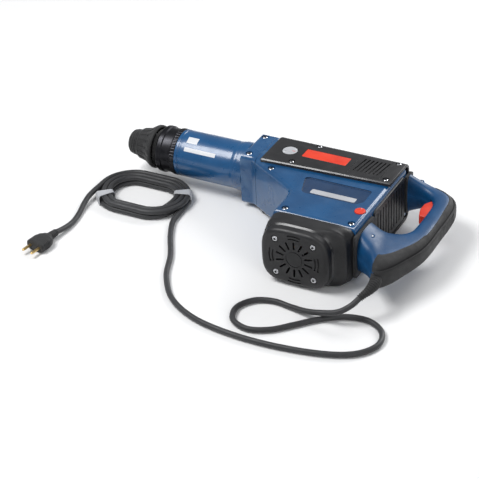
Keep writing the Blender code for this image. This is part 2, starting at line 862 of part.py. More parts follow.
def handle_section(station, side, steps=6):
    """Half of the handle's section, from its inner to its outer edge."""
    inner, outer, half = Vector(station[0]), Vector(station[1]), station[2]
    outer = outer - (outer - inner).normalized() * (PAD + GAP)
    ring = []
    for k in range(steps + 1):
        across = -math.cos(math.pi * k / steps)
        place = inner.lerp(outer, (1 + across) / 2)
        rise = half * (1 - abs(across) ** HANDLE_POWER) ** (1 / HANDLE_POWER)
        ring.append((place.x, place.y, AXIS_Z + side * (rise + GAP / 2)))
    return ring


def make_handle():
    for name, side in (("handle_left", 1), ("handle_right", -1)):
        rings = [handle_section(station, side) for station in STATIONS]
        shell = add_solid(name, rings, BLUE, (BODY_REAR_X, 0, AXIS_Z))
        cut(shell, box(f"{name}_pocket", (262, 22, AXIS_Z - 11), (297, 97, AXIS_Z + 11), BLUE))
        mouth_low = (240, TRIGGER_LOW_Y - 3, AXIS_Z - 9.5)
        mouth_high = (273.5, TRIGGER_HIGH_Y + 3.5, AXIS_Z + 9.5)
        cut(shell, box(f"{name}_mouth", mouth_low, mouth_high, BLUE))
        cut(shell, relief_bore(f"{name}_bore"))


def relief_bore(name):
    """A cutter that leaves room for the strain relief's upper end."""
    ends = RELIEF_ROUTE[:2]
    return swept(name, ends, [RELIEF_RADII[0] + GAP] * len(ends), RUBBER, sides=14)


def make_grip_pad():
    rings = []
    for inner, outer, half in STATIONS[2:13]:
        along = (Vector(outer) - Vector(inner)).normalized()
        far, near = Vector(outer), Vector(outer) - along * PAD
        reach = half * 0.62
        rings.append([
            (near.x, near.y, AXIS_Z - reach),
            (far.x, far.y, AXIS_Z - reach + 3),
            (far.x, far.y, AXIS_Z + reach - 3),
            (near.x, near.y, AXIS_Z + reach),
        ])
    pad = add_solid("grip_pad", rings, RUBBER, (REAR_X, 0, AXIS_Z))
    cut(pad, relief_bore("pad_bore"))


def make_trigger():
    outline = rounded([
        (TRIGGER_PIVOT[0] - 3, TRIGGER_LOW_Y, 3),
        (TRIGGER_PIVOT[0] + 1, TRIGGER_HIGH_Y, 3),
        (256, TRIGGER_HIGH_Y, 3),
        (248.5, 88, 10),
        (248, 71, 10),
        (254, TRIGGER_LOW_Y, 4),
    ])
    lever = pillow("trigger", outline, AXIS_Z - 9, AXIS_Z + 9, 2, RED)
    move_origin(lever, (*TRIGGER_PIVOT, AXIS_Z))


def move_origin(piece, pivot):
    """Put a piece's origin at a pivot and leave its surface where it is."""
    shift = Vector(pivot) * MM - piece.location
    for vertex in piece.data.vertices:
        vertex.co -= shift
    piece.location += shift


def make_switch():
    box("switch_box", (279, 32, AXIS_Z - 10), (295, 92, AXIS_Z + 10), BLACK)


def make_gaskets():
    spans = (("upper", 110, 138, 35), ("lower", -96, -20, 38))
    for name, low, high, reach in spans:
        corners = [
            (low, AXIS_Z - reach, 5),
            (high, AXIS_Z - reach, 5),
            (high, AXIS_Z + reach, 5),
            (low, AXIS_Z + reach, 5),
        ]
        rings = [
            [(x, p.x, p.y) for p in rounded(corners)]
            for x in (BODY_REAR_X + GAP, BODY_REAR_X + 5)
        ]
        add_solid(f"handle_gasket_{name}", rings, RUBBER)


# The cord and its plug

def make_strain_relief():
    swept("strain_relief", RELIEF_ROUTE, RELIEF_RADII, RUBBER, sides=14)


def coil_ring(beyond, z, steps=16):
    """An oval with straight sides, a distance outside the middle turn of the coil."""
    radius = COIL_R + beyond
    points = []
    for end in (0, 1):
        middle = COIL_X + (COIL_STRAIGHT, -COIL_STRAIGHT)[end]
        for k in range(steps + 1):
            turn = math.pi * (end - 0.5 + k / steps)
            points.append((middle + radius * math.cos(turn), COIL_Y + radius * math.sin(turn), z))
    return points


def make_cord():
    cord_tube("cord_lead", LEAD_ROUTE, CORD)
    cord_tube("cord_tail", TAIL_ROUTE, CORD)
    half = CORD_R * COIL_TURNS_WIDE + 0.2
    low, high = FLOOR_Z - CORD_R, FLOOR_Z - CORD_R + 2 * CORD_R * COIL_LAYERS + 0.4
    corners = [(-half, low), (half, low), (half, high), (-half, high)]
    add_solid("cord_coil", [coil_ring(w, z) for w, z in corners], CORD, closed=True)


def make_plug():
    start = Vector(TAIL_ROUTE[-1])
    along = (start - Vector(TAIL_ROUTE[-2])) * Vector((1, 1, 0))
    along.normalize()
    side = Vector((-along.y, along.x, 0))
    start = start + along * 0.6
    levels = [
        (0, 6.3, 6.3, 2),
        (16, 7.2, 7.2, 2),
        (20, 12, 8.5, 2.4),
        (26, 16, PLUG_HALF_Z - 0.5, 2.8),
        (34, 18, PLUG_HALF_Z, 3),
        (50, 18, PLUG_HALF_Z, 3),
        (52, 17, PLUG_HALF_Z - 1, 3),
    ]
    sides = 20
    rings = []
    for reach, half_wide, half_high, power in levels:
        points = []
        for i in range(sides):
            across, up = math.cos(math.tau * i / sides), math.sin(math.tau * i / sides)
            w = half_wide * math.copysign(abs(across) ** (2 / power), across)
            h = half_high * math.copysign(abs(up) ** (2 / power), up)
            points.append(start + along * reach + side * w + Vector((0, 0, h)))
        rings.append(points)
    plug = add_solid("plug", rings, RUBBER, start)
    for i, place in enumerate((-9.5, 9.5)):
        root = start + side * place
        pin = swept(
            f"plug_pin_{i + 1}",
            [root + along * reach for reach in (48, 69, 71)],
            [2.4, 2.4, 1.6],
            BRASS,
        )
        join(plug, pin)


clear_scene()

BLUE = material("blue_enamel", (0.012, 0.09, 0.24), 0.35)
BLACK = material("black_plastic", (0.018, 0.019, 0.021), 0.55)
RUBBER = material("black_rubber", (0.014, 0.014, 0.015), 0.8)
BLACK_METAL = material("blackened_steel", (0.03, 0.03, 0.033), 0.4, 0.9)
STEEL = material("ground_steel", (0.52, 0.53, 0.54), 0.28, 1.0)
SPRING_STEEL = material("spring_steel", (0.35, 0.36, 0.38), 0.35, 1.0)
SCREW_STEEL = material("zinc_steel", (0.62, 0.63, 0.65), 0.3, 1.0)
BEARING = material("bearing_steel", (0.6, 0.61, 0.62), 0.2, 1.0)
CAST = material("cast_aluminium", (0.5, 0.51, 0.52), 0.5, 1.0)
CORE = material("core_laminations", (0.22, 0.22, 0.23), 0.5, 1.0)
COPPER = material("copper", (0.72, 0.38, 0.2), 0.35, 1.0)
BRASS = material("brass", (0.7, 0.52, 0.25), 0.35, 1.0)
GRAPHITE = material("graphite", (0.05, 0.05, 0.055), 0.5, 0.2)
GREY = material("light_grey_plastic", (0.45, 0.46, 0.48), 0.45)
RED = material("red_plastic", (0.62, 0.045, 0.02), 0.45)
CORD = material("cord_rubber", (0.03, 0.031, 0.034), 0.6)

make_dust_cap()
make_tool_holder()
make_spindle_tube()
make_locking_bars()
make_locking_sleeve()
make_chuck_spring()
make_front_collar()
make_front_seal()
make_barrel()
make_hammer_cylinder()
make_spindle_gear()
make_front_bearing()
make_impact_bolt()
make_striker()
make_piston()
make_piston_pin()
make_connecting_rod()
make_crankshaft()
make_drive_gears()
make_gearbox_bearings()
make_bearing_plate()
make_armature()
make_stator()
make_brushes()
make_motor_housing()
make_motor_end_cover()
make_gear_housing()
make_controls(make_top_cover())
make_handle()
make_grip_pad()
make_trigger()
make_switch()
make_gaskets()
make_strain_relief()
make_cord()
make_plug()
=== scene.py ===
"""Looks for a heavy rotary hammer that lies on its right side, with its cord coiled beside its nose.

Lengths are in millimetres and MM turns them into metres. The hammer's axis runs along X with the
chuck at -X, the motor hangs towards -Y, the D-handle is at +X and the left side faces up.
"""

import json
import math

import bmesh
import bpy
from mathutils import Matrix, Vector


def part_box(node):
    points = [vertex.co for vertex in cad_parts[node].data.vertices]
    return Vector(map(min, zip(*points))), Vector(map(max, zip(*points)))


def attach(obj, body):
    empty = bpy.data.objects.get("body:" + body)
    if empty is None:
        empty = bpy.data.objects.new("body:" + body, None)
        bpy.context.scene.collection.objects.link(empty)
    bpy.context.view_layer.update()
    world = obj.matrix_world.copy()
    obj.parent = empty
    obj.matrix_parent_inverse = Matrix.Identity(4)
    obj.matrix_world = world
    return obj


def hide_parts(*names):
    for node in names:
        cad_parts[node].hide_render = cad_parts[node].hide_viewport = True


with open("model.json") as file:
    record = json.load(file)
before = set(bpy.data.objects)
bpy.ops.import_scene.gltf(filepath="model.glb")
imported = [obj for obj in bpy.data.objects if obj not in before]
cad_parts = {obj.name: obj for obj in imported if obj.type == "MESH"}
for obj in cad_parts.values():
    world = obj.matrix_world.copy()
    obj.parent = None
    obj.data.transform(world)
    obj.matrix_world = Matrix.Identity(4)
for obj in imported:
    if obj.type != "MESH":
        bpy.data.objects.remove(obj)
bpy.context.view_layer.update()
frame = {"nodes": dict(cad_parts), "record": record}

MM = 0.001
GAP = 0.3  # between pieces that touch
SHARP = math.radians(32)  # an edge bent more than this stays sharp
ROUND_SIDES = 112
ROUNDING = 1e-6  # allowed when two places are compared


def span(node):
    """A CAD node's lowest and highest corners, in millimetres."""
    low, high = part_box(node)
    return low / MM, high / MM


# Places and sizes that come from the frame

BARREL_LOW, BARREL_HIGH = span("barrel_tube")
AXIS_Y = (BARREL_LOW.y + BARREL_HIGH.y) / 2
AXIS_Z = (BARREL_LOW.z + BARREL_HIGH.z) / 2
AXIS = (0, AXIS_Y, AXIS_Z)
FLANGE_R = (BARREL_HIGH.y - BARREL_LOW.y) / 2
COLLAR_LOW, COLLAR_HIGH = span("front_collar")
BARREL_R = (COLLAR_HIGH.y - COLLAR_LOW.y) / 2
SLEEVE_LOW, SLEEVE_HIGH = span("locking_sleeve")
HOUSING_LOW, HOUSING_HIGH = span("gear_housing")
COVER_LOW, COVER_HIGH = span("top_cover")
MOTOR_LOW, MOTOR_HIGH = span("motor_housing")
END_LOW, END_HIGH = span("motor_end_cover")
MOTOR_X = (END_LOW.x + END_HIGH.x) / 2
MOTOR_HALF_X = (END_HIGH.x - END_LOW.x) / 2
MOTOR_HALF_Z = (END_HIGH.z - END_LOW.z) / 2
DIAL_LOW, DIAL_HIGH = span("speed_dial")
DIAL_X, DIAL_Y = (DIAL_LOW.x + DIAL_HIGH.x) / 2, (DIAL_LOW.y + DIAL_HIGH.y) / 2
KNOB_LOW, KNOB_HIGH = span("mode_selector")
KNOB_X, KNOB_Y = (KNOB_LOW.x + KNOB_HIGH.x) / 2, (KNOB_LOW.y + KNOB_HIGH.y) / 2
KNOB_R = (KNOB_HIGH.x - KNOB_LOW.x) / 2
REAR_X = span("grip_pad")[1].x
BODY_HALF = (HOUSING_HIGH.z - HOUSING_LOW.z) / 2

# Sizes that repeat the CAD model's

WALL = 4
COVER_WALL = 6
HOLDER_R = 16.5
SOCKET_R = 9.2

# Cord: its route repeats the CAD model's

CORD_R = 4.7
FLOOR_Z = CORD_R + 0.4
COIL_X = -236
COIL_Y = 3
COIL_STRAIGHT = 24
COIL_R = 47
PLUG_Z = 10.3
LEAD_ROUTE = [
    # From the strain relief down to the floor
    (251, -173, 43), (241, -187, 33), (223, -198, 23), (197, -201, 16.5), (168, -198, 9.5),
    # A loose loop beside the motor
    (138, -191, FLOOR_Z), (108, -188, FLOOR_Z), (79, -199, FLOOR_Z), (63, -227, FLOOR_Z),
    (73, -258, FLOOR_Z), (104, -271, FLOOR_Z), (137, -259, FLOOR_Z), (165, -233, FLOOR_Z),
    (194, -204, FLOOR_Z), (229, -181, FLOOR_Z), (266, -176, FLOOR_Z), (296, -195, FLOOR_Z),
    (304, -229, FLOOR_Z), (283, -261, FLOOR_Z), (240, -281, FLOOR_Z),
    # Along the front to the coil
    (170, -293, FLOOR_Z), (95, -294, FLOOR_Z), (20, -281, FLOOR_Z), (-40, -248, FLOOR_Z),
    (-80, -196, FLOOR_Z), (-104, -140, FLOOR_Z), (-133, -88, FLOOR_Z), (-150, -50, FLOOR_Z),
    (-153, -29, FLOOR_Z),
]
TAIL_ROUTE = [
    (-319, -38, 12), (-317, -62, 8), (-311, -88, FLOOR_Z), (-306, -115, FLOOR_Z),
    (-306, -140, 7.5), (-310, -163, PLUG_Z),
]
RELIEF_ROUTE = [
    (256, -122, AXIS_Z), (261, -140, AXIS_Z), (262, -151, 53), (258.6, -162, 49.4),
    (252.2, -171.4, 44.2),
]
RELIEF_R = 9.5
RELIEF_TIP_R = 5.9


# Materials: each one is a Principled shader whose colour, roughness and bump come from nodes

class Finish:
    """A material for one of the record's slots, built up node by node."""

    def __init__(self, slot, metallic=0.0):
        self.made = bpy.data.materials.new(slot)
        self.made["slot"] = slot
        self.made.use_nodes = True
        self.tree = self.made.node_tree
        self.shader = self.tree.nodes["Principled BSDF"]
        self.shader.inputs["Metallic"].default_value = metallic
        self.place = self.tree.nodes.new("ShaderNodeTexCoord").outputs["Object"]

    def node(self, kind, inputs, **settings):
        made = self.tree.nodes.new(kind)
        for key, value in settings.items():
            setattr(made, key, value)
        for key, value in inputs.items():
            self.feed(made.inputs[key], value)
        return made

    def feed(self, socket, value):
        if isinstance(value, bpy.types.NodeSocket):
            self.tree.links.new(value, socket)
        else:
            socket.default_value = value

    def stretched(self, scale):
        """Object coordinates, scaled on each axis."""
        inputs = {"Vector": self.place, "Scale": scale}
        return self.node("ShaderNodeMapping", inputs).outputs["Vector"]

    def noise(self, scale, detail=3.0, rough=0.5, stretch=(1, 1, 1)):
        place = self.stretched(stretch)
        inputs = {"Vector": place, "Scale": scale, "Detail": detail, "Roughness": rough}
        return self.node("ShaderNodeTexNoise", inputs).outputs["Fac"]

    def cells(self, scale):
        inputs = {"Vector": self.place, "Scale": scale}
        return self.node("ShaderNodeTexVoronoi", inputs).outputs["Distance"]

    def bands(self, scale, axis):
        inputs = {"Vector": self.place, "Scale": scale}
        return self.node("ShaderNodeTexWave", inputs, bands_direction=axis).outputs["Fac"]

    def edges(self, low=0.52, high=0.60):
        """1 along convex edges and 0 elsewhere."""
        pointed = self.node("ShaderNodeNewGeometry", {}).outputs["Pointiness"]
        return self.ranged(pointed, low, high)

    def ranged(self, value, start, end, low=0.0, high=1.0):
        inputs = {"Value": value, "From Min": start, "From Max": end, "To Min": low, "To Max": high}
        return self.node("ShaderNodeMapRange", inputs).outputs["Result"]

    def times(self, first, second):
        inputs = {0: first, 1: second}
        return self.node("ShaderNodeMath", inputs, operation="MULTIPLY").outputs["Value"]

    def mixed(self, share, first, second):
        """A colour between two; sockets 6, 7 and 2 are the mixer's colour ones."""
        inputs = {0: share, 6: first, 7: second}
        return self.node("ShaderNodeMix", inputs, data_type="RGBA").outputs[2]

    def clouded(self, scale, detail, dark, light, end=0.65):
        """Two colours, mixed by soft clouds."""
        return self.mixed(self.ranged(self.noise(scale, detail), 0.35, end), dark, light)

    def colour(self, value):
        self.feed(self.shader.inputs["Base Color"], value)

    def roughness(self, value):
        self.feed(self.shader.inputs["Roughness"], value)

    def relief(self, *layers):
        """Bump from (height, depth in millimetres) layers, stacked."""
        normal = None
        for height, depth in layers:
            inputs = {"Height": height, "Distance": depth * MM, "Strength": 1.0}
            if normal is not None:
                inputs["Normal"] = normal
            normal = self.node("ShaderNodeBump", inputs).outputs["Normal"]
        self.feed(self.shader.inputs["Normal"], normal)

    def coat(self, weight, roughness):
        self.shader.inputs["Coat Weight"].default_value = weight
        self.shader.inputs["Coat Roughness"].default_value = roughness


def rgb(red, green, blue):
    return (red, green, blue, 1.0)


def make_enamel():
    """Glossy blue paint on cast metal: orange peel, faint dust and paler worn edges."""
    paint = Finish("blue_enamel")
    body = paint.clouded(14, 4, rgb(0.001, 0.052, 0.150), rgb(0.001, 0.070, 0.195))
    speckle = paint.ranged(paint.noise(900, 2), 0.66, 0.74, 0.0, 0.35)
    dusty = paint.mixed(speckle, body, rgb(0.05, 0.11, 0.20))
    pale_edges = paint.times(paint.edges(), paint.ranged(paint.noise(60, 5), 0.45, 0.7, 0.0, 0.55))
    paint.colour(paint.mixed(pale_edges, dusty, rgb(0.08, 0.18, 0.32)))
    paint.roughness(paint.ranged(paint.noise(30, 5), 0.3, 0.7, 0.22, 0.42))
    paint.relief((paint.noise(260, 2), 0.14), (paint.noise(1400, 2), 0.02))
    paint.coat(0.5, 0.12)
    return paint.made


def make_moulded(slot, dark, light, rough, grain, depth):
    """Moulded plastic with a spark-eroded grain, pale scuffs and paler edges; the paler edges are
    painted sheen.
    """
    plastic = Finish(slot)
    body = plastic.clouded(22, 5, dark, light)
    paler = tuple(min(1.0, 2.2 * part + 0.02) for part in light[:3]) + (1.0,)
    scuffs = plastic.ranged(plastic.noise(45, 6, 0.7, (1, 1, 5)), 0.62, 0.75, 0.0, 0.28)
    scuffed = plastic.mixed(scuffs, body, paler)
    # Painted sheen: convex edges are mixed towards the paler colour.
    pale_edges = plastic.times(plastic.edges(0.53, 0.63), 0.45)
    plastic.colour(plastic.mixed(pale_edges, scuffed, paler))
    smooth = plastic.ranged(plastic.noise(70, 4), 0.3, 0.7, rough - 0.07, rough + 0.09)
    plastic.roughness(smooth)
    plastic.relief((plastic.cells(grain), depth), (plastic.noise(grain * 2.1, 3), depth * 0.5))
    return plastic.made


def make_rubber(slot, dark, light, rough):
    """Soft rubber: matt, finely stippled, with a breath of grey dust."""
    rubber = Finish(slot)
    body = rubber.clouded(18, 6, dark, light, 0.7)
    dust = rubber.ranged(rubber.noise(240, 6, 0.7), 0.58, 0.75, 0.0, 0.35)
    rubber.colour(rubber.mixed(dust, body, rgb(0.055, 0.055, 0.055)))
    rubber.roughness(rubber.ranged(rubber.noise(90, 4), 0.3, 0.7, rough - 0.08, rough + 0.1))
    rubber.relief((rubber.cells(1100), 0.06), (rubber.noise(420, 3), 0.05))
    rubber.shader.inputs["Sheen Weight"].default_value = 0.12
    rubber.shader.inputs["Sheen Roughness"].default_value = 0.5
    return rubber.made


def make_metal(slot, dark, light, rough, stretch=(1, 1, 1), marks=0.03):
    """Machined metal: fine tool marks along or round the part, and a little staining."""
    metal = Finish(slot, metallic=1.0)
    stain = metal.ranged(metal.noise(35, 6, 0.6), 0.35, 0.7)
    metal.colour(metal.mixed(stain, light, dark))
    lines = metal.noise(900, 4, 0.6, stretch)
    metal.roughness(metal.ranged(lines, 0.3, 0.7, rough - 0.08, rough + 0.12))
    metal.relief((lines, marks), (metal.noise(160, 3), 0.02))
    return metal.made


def make_laminations():
    """Stacked steel sheets, 0.5 mm each, varnished."""
    core = Finish("core_laminations", metallic=1.0)
    sheets = core.bands(1 / (20 * 0.5 * MM) * 3.1, "Y")
    core.colour(core.mixed(core.noise(40, 4), rgb(0.16, 0.15, 0.15), rgb(0.30, 0.29, 0.28)))
    core.roughness(core.ranged(sheets, 0.0, 1.0, 0.42, 0.62))
    core.relief((sheets, 0.08))
    return core.made


def make_copper():
    """Commutator bars: copper with brush tracks and thin dark streaks."""
    copper = Finish("copper", metallic=1.0)
    tracks = copper.noise(500, 4, 0.6, (1, 8, 1))
    share = copper.ranged(tracks, 0.35, 0.65)
    copper.colour(copper.mixed(share, rgb(0.60, 0.29, 0.14), rgb(0.78, 0.44, 0.25)))
    copper.roughness(copper.ranged(tracks, 0.3, 0.7, 0.26, 0.48))
    copper.relief((tracks, 0.03))
    return copper.made


def make_graphite():
    """Pressed carbon: dull, dark and slightly grainy."""
    carbon = Finish("graphite", metallic=0.2)
    grains = carbon.noise(700, 5, 0.7)
    carbon.colour(carbon.mixed(grains, rgb(0.03, 0.03, 0.034), rgb(0.08, 0.08, 0.085)))
    carbon.roughness(carbon.ranged(grains, 0.3, 0.7, 0.45, 0.65))
    carbon.relief((grains, 0.04))
    return carbon.made


def make_red():
    """Glossier moulded plastic for the stripe, the trigger and the dial."""
    red = Finish("red_plastic")
    red.colour(red.clouded(30, 4, rgb(0.56, 0.028, 0.010), rgb(0.68, 0.045, 0.016)))
    red.roughness(red.ranged(red.noise(120, 3), 0.3, 0.7, 0.32, 0.46))
    red.relief((red.noise(800, 2), 0.03))
    return red.made


def make_stage_finish():
    """A pale, nearly even floor."""
    floor = Finish("stage_floor")
    share = floor.noise(3, 2)
    floor.colour(floor.mixed(share, rgb(0.80, 0.80, 0.80), rgb(0.84, 0.84, 0.835)))
    floor.roughness(floor.ranged(floor.noise(40, 2), 0.3, 0.7, 0.55, 0.62))
    return floor.made


BLUE = make_enamel()
BLUE_PLASTIC = make_moulded(
    "blue_plastic", rgb(0.001, 0.043, 0.125), rgb(0.001, 0.056, 0.160), 0.42, 850, 0.05
)
# A darker blue for the floors of the recessed side panel and label seat: painted shade in the recess
SHADED_PANEL_BLUE = make_moulded(
    "blue_plastic", rgb(0.0006, 0.022, 0.070), rgb(0.0008, 0.030, 0.092), 0.50, 700, 0.08
)
BLACK = make_moulded(
    "black_plastic", rgb(0.006, 0.006, 0.007), rgb(0.011, 0.011, 0.012), 0.44, 700, 0.07
)
# A smoother black for the lit bevels, paler than the rest: the paler colour is painted highlight
POLISHED_GLINT = make_moulded(
    "black_plastic", rgb(0.013, 0.013, 0.014), rgb(0.019, 0.019, 0.020), 0.22, 900, 0.008
)
RUBBER = make_rubber("black_rubber", rgb(0.006, 0.006, 0.0065), rgb(0.011, 0.011, 0.012), 0.70)
CORD = make_rubber("cord_rubber", rgb(0.015, 0.015, 0.017), rgb(0.024, 0.025, 0.027), 0.52)
GREY = make_moulded(
    "light_grey_plastic", rgb(0.36, 0.37, 0.39), rgb(0.43, 0.44, 0.46), 0.42, 900, 0.04
)
RED = make_red()
BLACK_METAL = make_metal(
    "blackened_steel", rgb(0.016, 0.016, 0.018), rgb(0.045, 0.045, 0.050), 0.34, (9, 1, 1)
)
STEEL = make_metal("ground_steel", rgb(0.36, 0.36, 0.37), rgb(0.58, 0.58, 0.59), 0.28, (7, 1, 1))
SPRING_STEEL = make_metal("spring_steel", rgb(0.20, 0.20, 0.21), rgb(0.38, 0.38, 0.40), 0.32)
SCREW_STEEL = make_metal("zinc_steel", rgb(0.50, 0.51, 0.54), rgb(0.70, 0.71, 0.73), 0.27)
BEARING = make_metal("bearing_steel", rgb(0.50, 0.50, 0.51), rgb(0.68, 0.68, 0.69), 0.18, (1, 9, 1))
CAST = make_metal("cast_aluminium", rgb(0.38, 0.38, 0.39), rgb(0.52, 0.52, 0.53), 0.50, marks=0.15)
BRASS = make_metal("brass", rgb(0.52, 0.36, 0.13), rgb(0.72, 0.52, 0.24), 0.30)
CORE = make_laminations()
COPPER = make_copper()
GRAPHITE = make_graphite()


# Tools for making pieces

def add_piece(name, rings, finish, closed=False):
    """A surface skinned over rings of equally many points, in millimetres."""
    build = bmesh.new()
    corners = [[build.verts.new(Vector(point) * MM) for point in ring] for ring in rings]
    pairs = list(zip(corners, corners[1:]))
    if closed:
        pairs.append((corners[-1], corners[0]))
    for ring, following in pairs:
        for i, corner in enumerate(ring):
            j = (i + 1) % len(ring)
            build.faces.new((corner, ring[j], following[j], following[i]))
    if not closed:
        build.faces.new(corners[0])
        build.faces.new(corners[-1])
    bmesh.ops.recalc_face_normals(build, faces=build.faces)
    mesh = bpy.data.meshes.new(name)
    build.to_mesh(mesh)
    build.free()
    mesh.materials.append(finish)
    made = bpy.data.objects.new(name, mesh)
    bpy.context.collection.objects.link(made)
    return shade(made)


def shade(piece, sharp=SHARP):
    piece.data.shade_smooth()
    piece.data.set_sharp_from_angle(angle=sharp)
    return piece


def reshape(piece, tools, operation):
    """Cut tools out of a piece, or join them on, and delete the tools."""
    for tool in tools:
        step = piece.modifiers.new(tool.name, "BOOLEAN")
        step.operation = operation
        step.object = tool
        step.solver = "EXACT"
        step.material_mode = "TRANSFER"
    bpy.context.view_layer.update()
    ready = piece.evaluated_get(bpy.context.evaluated_depsgraph_get())
    mesh = bpy.data.meshes.new_from_object(ready)
    piece.modifiers.clear()
    piece.data = mesh
    for tool in tools:
        bpy.data.objects.remove(tool)
    return shade(piece)


BEVEL_SLOPE = (-0.80, -0.40)  # how far the normals of the smoother bevels, which carry painted highlight, lean along Y


def polish_with_painted_glint(piece, low, high):
    """Give the bevels inside a box a smoother black that is also paler; the paler colour is painted
    highlight.
    """
    piece.data.materials.append(POLISHED_GLINT)
    for face in piece.data.polygons:
        inside = all(a <= c / MM <= b for a, c, b in zip(low, face.center, high))
        if inside and BEVEL_SLOPE[0] < face.normal.y < BEVEL_SLOPE[1]:
            face.material_index = len(piece.data.materials) - 1


def cut(piece, *tools):
    return reshape(piece, tools, "DIFFERENCE")


def join(piece, *tools):
    return reshape(piece, tools, "UNION")


def soften(piece, width, segments=3):
    """Round a piece's sharp edges."""
    step = piece.modifiers.new("rounded_edges", "BEVEL")
    step.width = width * MM
    step.segments = segments
    step.limit_method = "ANGLE"
    step.angle_limit = SHARP
    step.use_clamp_overlap = True
    step.harden_normals = True
    return piece


def fit(piece, body, *nodes):
    """Let a piece ride on a body and stand for CAD nodes."""
    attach(piece, body)
    if nodes:
        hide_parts(*nodes)
    return piece


def polar(radius, turn):
    """The point at a radius and a turn in a plane."""
    return radius * math.cos(turn), radius * math.sin(turn)


def about(axis, centre, along, radius, turn):
    """The point at a radius and a turn about an axis through a centre."""
    x, y, z = centre
    across, up = polar(radius, turn)
    if axis == "X":
        return (x + along, y + across, z + up)
    if axis == "Y":
        return (x + across, y + along, z + up)
    return (x + across, y + up, z + along)


def turned(name, axis, centre, profile, finish, sides=ROUND_SIDES, hollow=False, shape=None):
    """A solid turned about an axis from (along, radius) points.

    shape(along, radius, turn) adds to the radius. A hollow solid's profile is a closed outline.
    """
    rings = []
    for along, radius in profile:
        ring = []
        for i in range(sides):
            turn = math.tau * i / sides
            more = shape(along, radius, turn) if shape else 0
            ring.append(about(axis, centre, along, radius + more, turn))
        rings.append(ring)
    return add_piece(name, rings, finish, closed=hollow)


def cylinder(name, axis, centre, low, high, radius, finish, sides=48):
    """A plain round solid between two levels along its axis."""
    return turned(name, axis, centre, [(low, radius), (high, radius)], finish, sides)


def rectangle(x0, y0, x1, y1, radius):
    """A rectangle's corners in the form that rounded takes."""
    return [(x0, y0, radius), (x1, y0, radius), (x1, y1, radius), (x0, y1, radius)]


def rounded(corners, steps=8):
    """An outline whose corners, given as (x, y, radius), are arcs."""
    outline = []
    for i, (x, y, radius) in enumerate(corners):
        corner = Vector((x, y))
        if radius == 0:
            outline.append(corner)
            continue
        before = (Vector(corners[i - 1][:2]) - corner).normalized()
        after = (Vector(corners[(i + 1) % len(corners)][:2]) - corner).normalized()
        half = before.angle(after) / 2
        centre = corner + (before + after).normalized() * radius / math.sin(half)
        start = corner + before * radius / math.tan(half) - centre
        end = corner + after * radius / math.tan(half) - centre
        bend = math.pi - 2 * half
        for k in range(steps + 1):
            share = k / steps
            outline.append(
                centre
                + start * math.sin((1 - share) * bend) / math.sin(bend)
                + end * math.sin(share * bend) / math.sin(bend)
            )
    return outline


def turned_profile(corners, steps, step):
    """A closed profile through rounded corners, its points no more than a step apart."""
    outline = [(p.x, p.y) for p in rounded(corners[::-1], steps)]
    points = []
    for start, end in zip(outline, outline[1:] + outline[:1]):
        pieces = max(1, math.ceil(math.dist(start, end) / step))
        for k in range(pieces):
            share = k / pieces
            points.append(tuple(a + (b - a) * share for a, b in zip(start, end)))
    return points


def superellipse(half_wide, half_high, power, sides):
    """An outline that goes from an ellipse at power 2 towards a rectangle at higher powers."""
    outline = []
    for i in range(sides):
        across, up = polar(1, math.tau * i / sides)
        wide = half_wide * math.copysign(abs(across) ** (2 / power), across)
        high = half_high * math.copysign(abs(up) ** (2 / power), up)
        outline.append((wide, high))
    return outline


def offset(outline, distance):
    """An anticlockwise outline moved outwards by a distance."""
    moved = []
    for i, corner in enumerate(outline):
        before = (corner - outline[i - 1]).normalized()
        after = (outline[(i + 1) % len(outline)] - corner).normalized()
        first, second = Vector((before.y, -before.x)), Vector((after.y, -after.x))
        moved.append(corner + (first + second) * distance / (1 + first.dot(second)))
    return moved


def edge_levels(low, high, edge, steps):
    """Levels between a low and a high one, each with the inset that rounds the edges there."""
    quarter = [math.pi / 2 * k / steps for k in range(steps + 1)]
    curve = [(edge * (1 - math.sin(a)), edge * (1 - math.cos(a))) for a in quarter]
    levels = [(low + depth, inset) for depth, inset in curve[::-1]]
    return levels + [(high - depth, inset) for depth, inset in curve]


def pillow(name, outline, low, high, edge, finish, steps=8):
    """An outline thickened from a low to a high level, with both its edges rounded."""
    levels = edge_levels(low, high, edge, steps)
    rings = [[(p.x, p.y, z) for p in offset(outline, -inset)] for z, inset in levels]
    return add_piece(name, rings, finish)


def block(name, low, high, finish):
    (x0, y0, z0), (x1, y1, z1) = low, high
    rings = [[(x0, y0, z), (x1, y0, z), (x1, y1, z), (x0, y1, z)] for z in (z0, z1)]
    return add_piece(name, rings, finish)


def between(a, b, c, d, t):
    """A point on the smooth curve from b to c."""
    return 0.5 * (2 * b + (c - a) * t + (2 * a - 5 * b + 4 * c - d) * t**2
                  + (3 * b - a - 3 * c + d) * t**3)


ROUTE_FINENESS = 20  # points between two of a route's own, before they are spaced evenly


def smooth_route(points, step):
    """Points a step apart on a smooth curve through a route."""
    route = [Vector(p) for p in points]
    route = [2 * route[0] - route[1], *route, 2 * route[-1] - route[-2]]
    fine = []
    for a, b, c, d in zip(route, route[1:], route[2:], route[3:]):
        fine += [between(a, b, c, d, k / ROUTE_FINENESS) for k in range(ROUTE_FINENESS)]
    fine.append(route[-2])
    lengths = [0.0]
    for a, b in zip(fine, fine[1:]):
        lengths.append(lengths[-1] + (b - a).length)
    count = max(2, round(lengths[-1] / step))
    spaced, at = [], 0
    for k in range(count + 1):
        wanted = lengths[-1] * k / count
        while at < len(fine) - 2 and lengths[at + 1] < wanted:
            at += 1
        share = (wanted - lengths[at]) / (lengths[at + 1] - lengths[at])
        spaced.append(fine[at].lerp(fine[at + 1], share))
    return spaced


def frames_along(points):
    """Each point of a path with two directions square to the path, without twist."""
    side = None
    for i, point in enumerate(points):
        along = (points[min(i + 1, len(points) - 1)] - points[max(i - 1, 0)]).normalized()
        if side is None:
            side = along.orthogonal()
        side = (side - side.dot(along) * along).normalized()
        yield point, side, along.cross(side)


